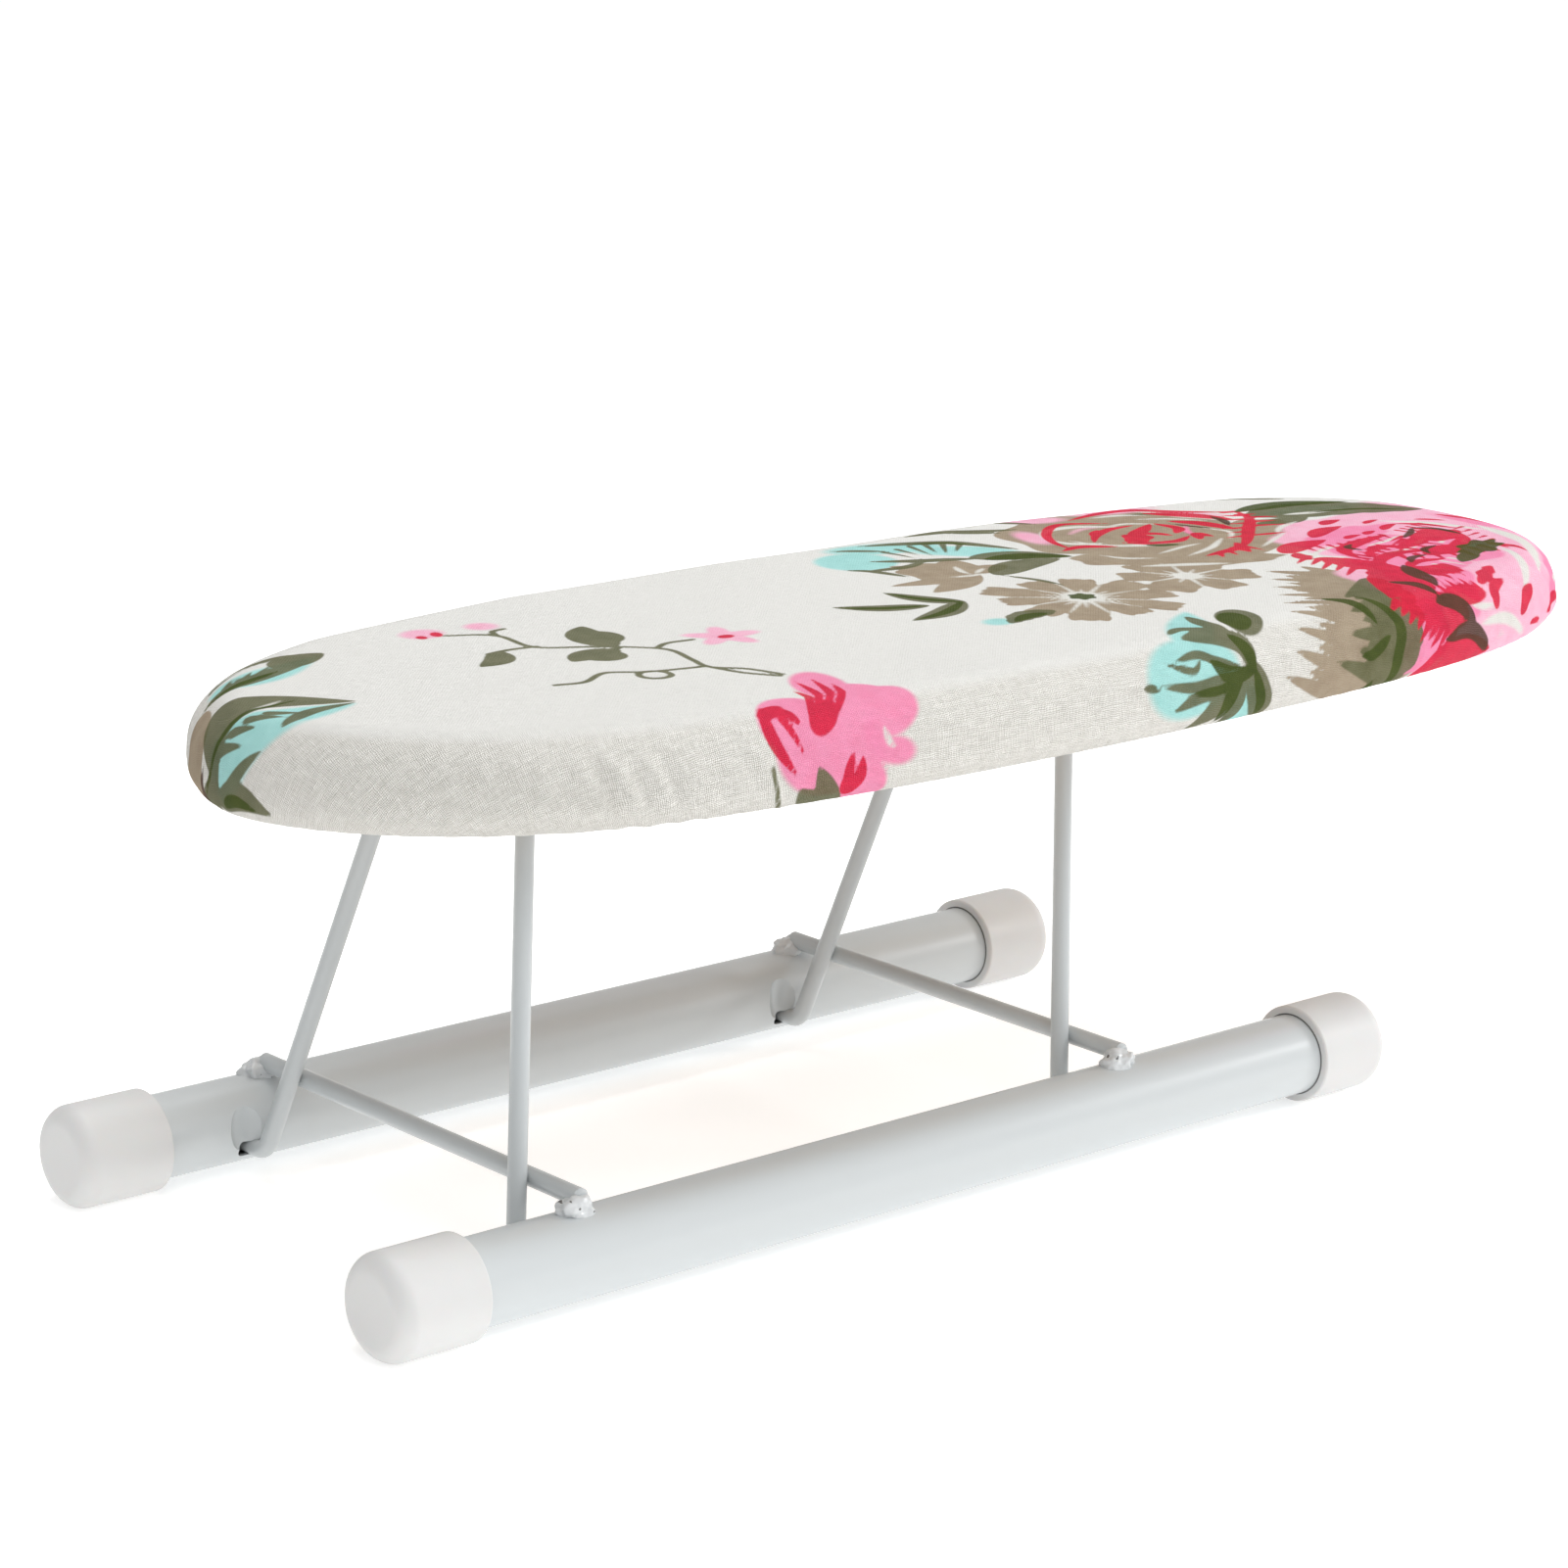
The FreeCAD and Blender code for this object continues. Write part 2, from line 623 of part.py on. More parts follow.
def make_elastic():
    """The elastic loop at the edge of the cover's hem, just under the deck."""
    low = f"({DECK_Z} - Sizes.layer_gap - Sizes.elastic)"
    high = f"({DECK_Z} - Sizes.layer_gap)"
    reach = "(Sizes.hem_width + Sizes.layer_gap)"
    outer = slab("elastic_outer", reach, low, high)
    inner = slab("elastic_inner", f"({reach} + Sizes.elastic)", f"{low} - 1", f"{high} + 1")
    ring = cut("elastic_ring", outer, inner)
    radius = value("Sizes.elastic_edge_radius")
    levels = [(lambda edge, z=value(z): is_level(edge, z), radius) for z in (low, high)]
    done(fillet("hem_elastic", ring, levels), "hem_elastic")


def make_clip(ending, x, y):
    """A saddle clip: a strap bent round the top bar, with two flat ears screwed to the deck."""
    node = f"leg_clip_{ending}"
    body = doc.addObject("PartDesign::Body", node)
    drop = "(Sizes.bar_gap + Sizes.wire_dia / 2)"
    wall = f"({CLIP_R} + Sizes.clip_thick)"
    end = f"({wall} + Sizes.clip_ear)"
    sheet_low = f"({drop} - Sizes.clip_thick)"
    sketch = sketch_on(body, "XZ_Plane", f"{node}_section")
    section = (
        (f"-{end}", drop),
        (f"-{end}", sheet_low),
        (f"-{wall}", sheet_low),
        (f"-{wall}", f"-{wall}"),
        (wall, f"-{wall}"),
        (wall, sheet_low),
        (end, sheet_low),
        (end, drop),
        (CLIP_R, drop),
        (CLIP_R, f"-{CLIP_R}"),
        (f"-{CLIP_R}", f"-{CLIP_R}"),
        (f"-{CLIP_R}", drop),
    )
    polygon(sketch, section)
    strap = body.newObject("PartDesign::Pad", f"{node}_strap")
    strap.Profile = sketch
    strap.setExpression("Length", "Sizes.clip_width")
    strap.Midplane = True
    inner = value(CLIP_R)

    def in_hollow(edge):
        box = edge.BoundBox
        flat = abs(box.ZMin + inner) < 1e-3 and abs(box.ZMax + inner) < 1e-3
        return flat and abs(abs(box.XMin) - inner) < 1e-3 and box.XLength < 1e-3

    outer = value(wall)

    def on_back(edge):
        box = edge.BoundBox
        flat = abs(box.ZMin + outer) < 1e-3 and abs(box.ZMax + outer) < 1e-3
        return flat and abs(abs(box.XMin) - outer) < 1e-3 and box.XLength < 1e-3

    tip = value(end)

    def at_ear(edge):
        box = edge.BoundBox
        return abs(abs(box.XMin) - tip) < 1e-3 and box.XLength < 1e-3 and box.YLength < 1e-3

    hollow = round_edges(body, strap, f"{node}_hollow", f"{CLIP_R} - 0.01", in_hollow)
    back = round_edges(body, hollow, f"{node}_back", f"{wall} - 0.02", on_back)
    ears = round_edges(body, back, f"{node}_ears", "Sizes.clip_corner_radius", at_ear)
    holes = sketch_on(body, "XY_Plane", f"{node}_screw_holes")
    for sign in (-1, 1):
        circle(holes, f"{sign} * {ear_middle()}", "0", "Sizes.screw_dia / 2 + Sizes.screw_play")
    doc.recompute()
    punched = body.newObject("PartDesign::Pocket", f"{node}_punched")
    punched.Profile = holes
    punched.Type = "ThroughAll"
    punched.Midplane = True
    doc.recompute()
    if punched.Shape.Volume > ears.Shape.Volume - 1:
        raise RuntimeError(f"{node}: the screw holes cut nothing")
    body.Tip = punched
    place(body, x, y, BAR_Z)
    done(body, node)


def make_screw(name, x, y):
    """One wood screw: a rounded head under the clip's ear and a pointed shank into the deck."""
    body = doc.addObject("PartDesign::Body", name)
    sketch = sketch_on(body, "XZ_Plane", f"{name}_half")
    shank = "Sizes.screw_dia / 2"
    point = "(Sizes.screw_depth - Sizes.screw_point)"
    under = "(-Sizes.clip_thick)"
    crown = "(-Sizes.clip_thick - Sizes.head_height)"
    rim = "Sizes.head_dia / 2"
    corners = (
        ("0", crown),
        (rim, crown),
        (rim, under),
        (shank, under),
        (shank, point),
        ("0", "Sizes.screw_depth"),
    )
    polygon(sketch, corners)
    turned = revolve(body, sketch, f"{name}_turned")
    radius = value(rim)
    height = value(crown)
    body.Tip = round_edges(
        body, turned, f"{name}_head", "Sizes.head_radius", lambda edge: is_ring(edge, radius, height)
    )
    return place(body, x, y, DECK_Z)


def make_screws():
    """All the clip screws as one group of separate solids."""
    screws = [make_screw(name, x, y) for name, x, y in screw_places()]
    group = doc.addObject("Part::Compound", "clip_screws")
    group.Links = screws
    done(group, "clip_screws")


def check_and_write():
    """Stops on any failed object or shape, then writes each sub-part's file."""
    doc.recompute()
    for thing in doc.Objects:
        if "Invalid" in thing.State or "Error" in thing.State:
            raise RuntimeError(f"{thing.Name} failed: {thing.State}")
    for thing in parts:
        if thing.Shape.isNull() or not thing.Shape.isValid():
            raise RuntimeError(f"{thing.Label} has no valid shape")
        if not thing.Shape.Solids:
            raise RuntimeError(f"{thing.Label} holds no solid")
    os.makedirs("parts", exist_ok=True)
    for thing in parts:
        thing.Shape.exportStep(f"parts/{thing.Label}.step")
        print(f"{thing.Label}: {len(thing.Shape.Solids)} solid, {thing.Shape.Volume:.0f} mm3")


fill_sheet()
for side, sign in SIDES:
    make_rail(side, sign)
    for end in ENDS:
        make_end_cap(side, sign, end)
        make_weld_saddle(side, sign, end)
for end in ENDS:
    make_cross_rod(end)
    make_leg_frame(end)
make_board()
for ending, x, y in clip_places():
    make_clip(ending, x, y)
make_screws()
check_and_write()
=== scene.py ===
"""Looks of the tabletop folding sleeve ironing board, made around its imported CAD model.

Metres everywhere, except in the cloth's print, whose places are millimetres on the flat cloth:
x runs from the board's nose to its tail and y to the rear, with the origin at the board's middle.
"""

import math

import bmesh
import bpy
import numpy as np
from mathutils import Matrix, Vector, noise


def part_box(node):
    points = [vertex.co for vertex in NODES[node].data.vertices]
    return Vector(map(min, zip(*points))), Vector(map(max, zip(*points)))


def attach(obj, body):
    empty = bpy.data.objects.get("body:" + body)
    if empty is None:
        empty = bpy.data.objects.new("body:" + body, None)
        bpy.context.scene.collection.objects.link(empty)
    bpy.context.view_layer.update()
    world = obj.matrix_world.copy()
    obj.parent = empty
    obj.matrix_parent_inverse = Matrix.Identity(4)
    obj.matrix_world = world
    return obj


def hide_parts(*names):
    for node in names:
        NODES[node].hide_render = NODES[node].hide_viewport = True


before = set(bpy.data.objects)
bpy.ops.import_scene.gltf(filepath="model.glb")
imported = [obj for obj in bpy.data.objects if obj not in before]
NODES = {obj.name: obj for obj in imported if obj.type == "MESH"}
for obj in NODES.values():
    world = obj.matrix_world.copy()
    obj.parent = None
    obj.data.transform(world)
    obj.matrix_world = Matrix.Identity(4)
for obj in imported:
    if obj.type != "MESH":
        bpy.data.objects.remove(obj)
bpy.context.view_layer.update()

MM = 0.001


# ---------------------------------------------------------------- camera, light and floor

CAMERA_AT = (-0.8814, -0.9459, 0.4346)
CAMERA_YAW = 41.286
CAMERA_PITCH = 14.479
CAMERA_ROLL = 1.058
LENS = 100.16
SENSOR = 36
DIM_SIDE, BRIGHT_SIDE = 0.36, 0.92  # strength of the surroundings at the left and the right
FLOOR = (0.93, 0.93, 0.925)
FLOOR_GLOW = 0.42  # light of its own, which keeps the floor white
FLOOR_HALF = 8.0


def make_camera():
    """A long lens that looks down the board's length from its nose, a little from above."""
    yaw, pitch, roll = (math.radians(a) for a in (CAMERA_YAW, CAMERA_PITCH, CAMERA_ROLL))
    ahead = Vector(
        (math.sin(yaw) * math.cos(pitch), math.cos(yaw) * math.cos(pitch), -math.sin(pitch))
    )
    level = Vector((math.cos(yaw), -math.sin(yaw), 0))
    upright = level.cross(ahead)
    right = level * math.cos(roll) + upright * math.sin(roll)
    above = upright * math.cos(roll) - level * math.sin(roll)
    data = bpy.data.cameras.new("camera")
    data.lens = LENS
    data.sensor_width = SENSOR
    camera = bpy.data.objects.new("camera", data)
    turn = Matrix((right, above, -ahead)).transposed().to_4x4()
    camera.matrix_world = Matrix.Translation(CAMERA_AT) @ turn
    bpy.context.scene.collection.objects.link(camera)
    bpy.context.scene.camera = camera


def make_light(name, place, size, power, target=(0, 0, 0.08)):
    """A square soft box of this size that faces the target."""
    data = bpy.data.lights.new(name, "AREA")
    data.shape = "SQUARE"
    data.size = size
    data.energy = power
    lamp = bpy.data.objects.new(name, data)
    lamp.location = place
    lamp.rotation_mode = "QUATERNION"
    lamp.rotation_quaternion = (Vector(place) - Vector(target)).to_track_quat("Z", "Y")
    bpy.context.scene.collection.objects.link(lamp)


def make_surroundings():
    """White surroundings, dimmer to the left of the camera and brighter to its right."""
    world = bpy.data.worlds.new("studio")
    world.use_nodes = True
    tree = world.node_tree
    place = tree.nodes.new("ShaderNodeTexCoord")
    across = tree.nodes.new("ShaderNodeVectorMath")
    across.operation = "DOT_PRODUCT"
    across.inputs[1].default_value = (0.75, -0.66, 0)
    spread = tree.nodes.new("ShaderNodeMapRange")
    spread.interpolation_type = "SMOOTHSTEP"
    for socket, number in zip(list(spread.inputs)[1:5], (-0.7, 0.8, DIM_SIDE, BRIGHT_SIDE)):
        socket.default_value = number
    tree.links.new(place.outputs["Generated"], across.inputs[0])
    tree.links.new(across.outputs["Value"], spread.inputs[0])
    tree.links.new(spread.outputs[0], tree.nodes["Background"].inputs["Strength"])
    tree.nodes["Background"].inputs["Color"].default_value = (1, 1, 1, 1)
    bpy.context.scene.world = world


def make_studio():
    """Pale surroundings, three soft boxes and a pale floor."""
    make_surroundings()
    bpy.context.scene.view_settings.view_transform = "Standard"
    make_light("key", (1.8, -0.9, 0.8), 0.4, 12)
    make_light("fill", (-0.9, -1.3, 1.7), 0.9, 6)
    make_light("top", (0.1, 0.3, 2.2), 1.2, 24)
    mesh = bpy.data.meshes.new("floor")
    far = FLOOR_HALF
    corners = [(-far, -far, 0), (far, -far, 0), (far, far, 0), (-far, far, 0)]
    mesh.from_pydata(corners, [], [(0, 1, 2, 3)])
    floor = bpy.data.objects.new("floor", mesh)
    bpy.context.scene.collection.objects.link(floor)
    paper = Shader("floor_paper")
    paper.put(paper.bsdf.inputs["Emission Color"], (1, 1, 1))
    mesh.materials.append(paper.finish(FLOOR, 0.9, Emission_Strength=FLOOR_GLOW))


# ---------------------------------------------------------------- building materials


class Shader:
    """A material with short ways to add and join its nodes."""

    def __init__(self, name):
        self.material = bpy.data.materials.new(name)
        self.material.use_nodes = True
        self.tree = self.material.node_tree
        self.bsdf = self.tree.nodes["Principled BSDF"]

    def put(self, socket, source):
        """Gives a socket a number, a colour or another node's output."""
        if isinstance(source, (int, float)):
            socket.default_value = source
        elif isinstance(source, tuple):
            socket.default_value = (*source, 1) if socket.type == "RGBA" else source
        else:
            self.tree.links.new(source, socket)

    def node(self, kind, **inputs):
        """A node whose sockets are given by name, with underscores for spaces."""
        made = self.tree.nodes.new(kind)
        for key, source in inputs.items():
            self.put(made.inputs[key.replace("_", " ")], source)
        return made

    def math(self, operation, a, b=0.0, c=0.0):
        """One step of arithmetic on numbers or outputs."""
        made = self.tree.nodes.new("ShaderNodeMath")
        made.operation = operation
        for socket, source in zip(made.inputs, (a, b, c)):
            self.put(socket, source)
        return made.outputs[0]

    def mix(self, share, a, b):
        """Colour a turning into colour b as share goes from 0 to 1."""
        made = self.tree.nodes.new("ShaderNodeMix")
        made.data_type = "RGBA"
        self.put(made.inputs["Factor"], share)
        self.put(made.inputs[6], a)
        self.put(made.inputs[7], b)
        return made.outputs[2]

    def ramp(self, source, low, high, to_low=0.0, to_high=1.0):
        """The source's range low to high, spread smoothly over to_low to to_high."""
        made = self.tree.nodes.new("ShaderNodeMapRange")
        made.interpolation_type = "SMOOTHSTEP"
        for socket, number in zip(made.inputs, (source, low, high, to_low, to_high)):
            self.put(socket, number)
        return made.outputs[0]

    def place(self, stretch=(1, 1, 1)):
        """The object's own coordinates, in metres, stretched."""
        coordinates = self.tree.nodes.new("ShaderNodeTexCoord")
        mapping = self.node("ShaderNodeMapping", Vector=coordinates.outputs["Object"])
        mapping.inputs["Scale"].default_value = stretch
        return mapping.outputs[0]

    def noise(self, vector, scale, detail=3.0, roughness=0.5):
        """Noise between 0 and 1."""
        made = self.node(
            "ShaderNodeTexNoise", Vector=vector, Scale=scale, Detail=detail, Roughness=roughness
        )
        return made.outputs["Fac"]

    def bump(self, height, depth, strength=1.0, below=None):
        """Small relief: height from 0 to 1 stands for depth metres."""
        made = self.node("ShaderNodeBump", Height=height, Distance=depth, Strength=strength)
        if below is not None:
            self.put(made.inputs["Normal"], below)
        return made.outputs[0]

    def finish(self, colour, roughness, normal=None, **fixed):
        """Feeds the shader its colour, roughness and normal, and sets its fixed values."""
        self.put(self.bsdf.inputs["Base Color"], colour)
        self.put(self.bsdf.inputs["Roughness"], roughness)
        if normal is not None:
            self.put(self.bsdf.inputs["Normal"], normal)
        for key, number in fixed.items():
            self.bsdf.inputs[key.replace("_", " ")].default_value = number
        return self.material


RAIL_GREY = (0.555, 0.585, 0.595)
WIRE_GREY = (0.52, 0.55, 0.56)


def powder_coat(name, colour):
    """Glossy powder coat with a soft orange peel."""
    s = Shader(name)
    peel = s.noise(s.place(), 330.0, 1.0)
    rough = s.ramp(s.noise(s.place(), 45.0, 1.0), 0.3, 0.7, 0.28, 0.32)
    relief = s.bump(peel, 0.00002, 0.35)
    return s.finish(colour, rough, relief, Coat_Weight=0.2)


def pitted_weld():
    """Powder coat over a rough weld, with a few dark pits whose darkness is painted shade."""
    s = Shader("pitted_weld")
    pits = s.noise(s.place(), 420.0, 1.0)
    # Near-black spots where the pits are: painted shade in the pits.
    tint = s.mix(s.ramp(pits, 0.70, 0.73), (0.62, 0.64, 0.65), (0.12, 0.12, 0.12))
    relief = s.bump(s.noise(s.place(), 300.0, 1.0), 0.0002, 0.5)
    return s.finish(tint, 0.34, relief, Coat_Weight=0.2)


def painted_gap_shade():
    """Painted shade for a narrow gap: dark, mottled by noise."""
    s = Shader("painted_gap_shade")
    gap_mottle = s.noise(s.place(), 300.0, 2.0)
    return s.finish(s.mix(gap_mottle, (0.10, 0.10, 0.10), (0.20, 0.20, 0.20)), 0.8)


def moulded_plastic():
    """Satin off-white plastic with a fine spark-eroded grain and faint flow marks."""
    s = Shader("moulded_plastic")
    grain = s.noise(s.place(), 1500.0, 3.0, 0.6)
    flow = s.noise(s.place(), 60.0, 2.0)
    tint = s.mix(s.ramp(flow, 0.3, 0.7), (0.635, 0.635, 0.63), (0.65, 0.65, 0.645))
    rough = s.ramp(flow, 0.3, 0.7, 0.42, 0.52)
    relief = s.bump(grain, 0.00005, 0.5)
    return s.finish(tint, rough, relief, Subsurface_Weight=0.08, Subsurface_Scale=0.004)


def fibre_board():
    """Raw pressed fibre board: a brown felt of short fibres."""
    s = Shader("fibre_board")
    coarse = s.noise(s.place((1.0, 2.5, 1.0)), 260.0, 5.0, 0.65)
    fine = s.noise(s.place((3.0, 1.0, 1.0)), 900.0, 3.0, 0.6)
    flecks = s.noise(s.place(), 420.0, 1.0)
    tint = s.mix(coarse, (0.30, 0.19, 0.11), (0.56, 0.41, 0.26))
    tint = s.mix(s.ramp(flecks, 0.64, 0.7), tint, (0.17, 0.10, 0.06))
    relief = s.bump(s.math("ADD", coarse, fine), 0.0001, 0.6)
    return s.finish(tint, 0.82, relief)


def soft_foam():
    """Open foam: pale, with small pits."""
    s = Shader("soft_foam")
    cells = s.node("ShaderNodeTexVoronoi", Vector=s.place(), Scale=900.0)
    blotch = s.noise(s.place(), 30.0, 3.0)
    tint = s.mix(blotch, (0.80, 0.77, 0.66), (0.88, 0.86, 0.77))
    relief = s.bump(cells.outputs["Distance"], 0.0006, 0.8)
    return s.finish(tint, 0.95, relief, Sheen_Weight=0.2)


def woven_elastic():
    """Woven elastic with pale ribs."""
    s = Shader("woven_elastic")
    ribs = s.node("ShaderNodeTexWave", Vector=s.place(), Scale=260.0, Distortion=1.5)
    fuzz = s.noise(s.place(), 1400.0, 2.0)
    tint = s.mix(ribs.outputs["Fac"], (0.70, 0.69, 0.66), (0.88, 0.87, 0.85))
    relief = s.bump(s.math("ADD", ribs.outputs["Fac"], fuzz), 0.0002, 0.7)
    return s.finish(tint, 0.85, relief, Sheen_Weight=0.3)


def zinc_plate():
    """Bright zinc plating with fine rolling marks and cloudy patches."""
    s = Shader("zinc_plate")
    marks = s.noise(s.place((1.0, 14.0, 1.0)), 500.0, 2.0)
    cloud = s.noise(s.place(), 120.0, 4.0)
    tint = s.mix(cloud, (0.55, 0.56, 0.58), (0.78, 0.79, 0.80))
    rough = s.ramp(cloud, 0.3, 0.7, 0.26, 0.42)
    relief = s.bump(marks, 0.00003, 0.6)
    return s.finish(tint, rough, relief, Metallic=1.0)


# ---------------------------------------------------------------- the printed cloth's material

# The dyes in the order in which they are printed: colour, darker colour, soft edge in mm.
DYES = {
    "aqua": ((0.42, 0.78, 0.75), (0.35, 0.71, 0.68), 1.5),
    "tan": ((0.40, 0.315, 0.215), (0.33, 0.25, 0.165), 0.35),
    "blush": ((0.96, 0.53, 0.68), (0.95, 0.44, 0.61), 1.8),
    "pink": ((0.94, 0.30, 0.50), (0.93, 0.25, 0.44), 1.0),
    "olive": ((0.165, 0.165, 0.085), (0.12, 0.125, 0.055), 0.35),
    "bare": ((0.80, 0.79, 0.74), (0.80, 0.79, 0.74), 0.7),
    "crimson": ((0.76, 0.012, 0.055), (0.62, 0.01, 0.045), 0.3),
    "green": ((0.07, 0.095, 0.016), (0.05, 0.075, 0.01), 0.3),
    "umber": ((0.10, 0.05, 0.03), (0.07, 0.045, 0.022), 0.35),
}
# The colour of cloth that faces up: painted light, lighter and more even than the board's sides.
CLOTH_LIT_TOP = (0.86, 0.855, 0.825)
# The weave's painted light on the threads' crowns and slubs, then its painted shade between the
# threads.
CLOTH_THREAD_LIT = (0.97, 0.955, 0.915)
CLOTH_THREAD_SHADE = (0.36, 0.34, 0.285)
THREAD = 0.55  # mm from one thread to the next
THREAD_DRIFT = 1.2  # mm by which the threads wander
WEAVE_DEPTH = 0.0003
RAG_MEAN = 0.17  # takes the ragged edges' mean back out, so that shapes keep their size


def printed_cotton():
    """Plain-woven cotton: over-and-under threads with slubs, printed with the dyes. The weave's light
    and shade are painted into its colour, and cloth that faces up is painted lighter and more even
    than the sides.
    """
    s = Shader("printed_cotton")
    flat = s.node("ShaderNodeAttribute")
    flat.attribute_name = "flat_mm"
    axes = s.node("ShaderNodeSeparateXYZ", Vector=flat.outputs["Vector"])
    drift = s.noise(flat.outputs["Vector"], 0.35, 2.0)
    sway = s.math("MULTIPLY", drift, THREAD_DRIFT)
    warp = s.math("MULTIPLY", s.math("ADD", axes.outputs["X"], sway), math.pi / THREAD)
    weft = s.math("MULTIPLY", s.math("ADD", axes.outputs["Y"], sway), math.pi / THREAD)
    warp_wave = s.math("SINE", warp)
    weft_wave = s.math("SINE", weft)
    over = s.ramp(s.math("MULTIPLY", warp_wave, weft_wave), -0.25, 0.25)
    warp_top = s.math("MULTIPLY", s.math("ABSOLUTE", warp_wave), over)
    weft_top = s.math("MULTIPLY", s.math("ABSOLUTE", weft_wave), s.math("SUBTRACT", 1.0, over))
    weave = s.math("ADD", warp_top, weft_top)
    along = s.node("ShaderNodeMapping", Vector=flat.outputs["Vector"])
    along.inputs["Scale"].default_value = (0.14, 1.5, 1.0)
    across = s.node("ShaderNodeMapping", Vector=flat.outputs["Vector"])
    across.inputs["Scale"].default_value = (2.2, 0.2, 1.0)
    slub_a = s.noise(along.outputs[0], 1.0, 3.0, 0.6)
    slub_b = s.noise(across.outputs[0], 1.0, 3.0, 0.6)
    slubs = s.math("MULTIPLY", s.math("ADD", slub_a, slub_b), 0.5)
    fuzz = s.noise(flat.outputs["Vector"], 3.0, 3.0, 0.7)
    # Painted shade between the threads and painted light on their crowns and slubs.
    thread_light = s.ramp(weave, 0.15, 0.85, 0.0, 0.72)
    shade = s.math("ADD", thread_light, s.ramp(slubs, 0.3, 0.7, 0.0, 0.34))
    geometry = s.tree.nodes.new("ShaderNodeNewGeometry")
    facing = s.node("ShaderNodeSeparateXYZ", Vector=geometry.outputs["Normal"])
    # Cloth that faces up takes a lighter, even colour: painted light on the top.
    lit_top_share = s.ramp(facing.outputs["Z"], 0.80, 0.97, 0.0, 0.8)
    tint = s.mix(lit_top_share, s.mix(shade, CLOTH_THREAD_SHADE, CLOTH_THREAD_LIT), CLOTH_LIT_TOP)
    rag = s.math("ADD", s.math("MULTIPLY", weave, -0.35), s.math("MULTIPLY", fuzz, 0.7))
    take = s.ramp(weave, 0.5, 0.95, 1.0, 0.88)
    patch = s.noise(flat.outputs["Vector"], 0.12, 4.0, 0.65)
    for dye, (colour, deep, edge) in DYES.items():
        field = s.node("ShaderNodeAttribute")
        field.attribute_name = f"dye_{dye}"
        reach = s.math("ADD", field.outputs["Fac"], s.math("SUBTRACT", rag, RAG_MEAN))
        cover = s.ramp(reach, edge, -edge)
        mottled = s.mix(s.ramp(patch, 0.3, 0.75), colour, deep)
        tint = s.mix(s.math("MULTIPLY", cover, take), tint, mottled)
    relief = s.bump(weave, WEAVE_DEPTH, 0.9)
    relief = s.bump(slubs, WEAVE_DEPTH, 0.6, relief)
    return s.finish(tint, 0.9, relief, Specular_IOR_Level=0.12)


# ---------------------------------------------------------------- the board's outline

BOARD_LOW, BOARD_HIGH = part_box("cover")
NOSE = BOARD_LOW.x
TAIL = BOARD_HIGH.x
TOP = BOARD_HIGH.z
UNDER = BOARD_LOW.z
SHOULDER_BACK = 0.0265
WAIST_FROM_TAIL = 0.2355
FLANK_AHEAD = 0.0255
NOSE_HALF, SHOULDER_HALF, WAIST_HALF, FLANK_HALF, TAIL_HALF = 0.0135, 0.089, 0.0955, 0.0815, 0.035
TOP_ROUND = 0.015
LOW_ROUND = 0.009
PERIMETER_STEPS = 880
STEP = 0.00135


def outline_poles():
    """One side's spline poles, from nose to tail. They are the CAD outline's."""
    return np.array(
        [
            (NOSE, 0),
            (NOSE, NOSE_HALF),
            (NOSE + SHOULDER_BACK, SHOULDER_HALF),
            (TAIL - WAIST_FROM_TAIL, WAIST_HALF),
            (TAIL - FLANK_AHEAD, FLANK_HALF),
            (TAIL, TAIL_HALF),
            (TAIL, 0),
        ]
    )


def drawn_in(poles, inset):
    """The poles with each leg of their polygon moved inward by the inset."""
    along = np.diff(poles, axis=0)
    along /= np.linalg.norm(along, axis=1)[:, None]
    start = poles[:-1] + inset * np.stack([along[:, 1], -along[:, 0]], axis=1)
    moved = [(start[0, 0], 0.0)]
    for i in range(len(along) - 1):
        gap = start[i + 1] - start[i]
        turn = along[i, 0] * along[i + 1, 1] - along[i, 1] * along[i + 1, 0]
        share = (gap[0] * along[i + 1, 1] - gap[1] * along[i + 1, 0]) / turn
        moved.append(tuple(start[i] + along[i] * share))
    moved.append((start[-1, 0], 0.0))
    return np.array(moved)


def spline(poles, at):
    """Points of the clamped cubic B-spline at parameters from 0 to 1."""
    spans = len(poles) - 3
    knots = np.concatenate([[0] * 3, np.linspace(0, 1, spans + 1), [1] * 3])
    at = np.clip(at, 0, 1 - 1e-9)
    basis = [((knots[i] <= at) & (at < knots[i + 1])).astype(float) for i in range(len(knots) - 1)]
    for degree in (1, 2, 3):
        for i in range(len(basis) - 1):
            left = knots[i + degree] - knots[i]
            right = knots[i + degree + 1] - knots[i + 1]
            rise = (at - knots[i]) / left * basis[i] if left else 0
            fall = (knots[i + degree + 1] - at) / right * basis[i + 1] if right else 0
            basis[i] = rise + fall
        basis.pop()
    return sum(weight[:, None] * pole for weight, pole in zip(basis, poles))


def even_parameters(count):
    """Parameters that divide one side into count equal lengths, from nose to tail."""
    fine = np.linspace(0, 1, 4001)
    points = spline(outline_poles(), fine)
    run = np.concatenate([[0], np.cumsum(np.linalg.norm(np.diff(points, axis=0), axis=1))])
    return np.interp(np.linspace(0, run[-1], count + 1), run, fine)


HALF_STEPS = PERIMETER_STEPS // 2
SIDE_AT = even_parameters(HALF_STEPS)


def loop(inset):
    """The whole outline drawn in by an inset, in PERIMETER_STEPS points, round from the nose.

    The rear side comes first, so point 0 is the nose and the middle one is the tail."""
    rear = spline(drawn_in(outline_poles(), inset), SIDE_AT)
    front = rear[-2:0:-1] * (1, -1)
    return np.concatenate([rear, front])


def outward(points):
    """Unit normals of a closed loop that runs clockwise, seen from above."""
    along = np.roll(points, -1, axis=0) - np.roll(points, 1, axis=0)
    normal = np.stack([-along[:, 1], along[:, 0]], axis=1)
    return normal / np.linalg.norm(normal, axis=1)[:, None]


# ---------------------------------------------------------------- the print on the cloth


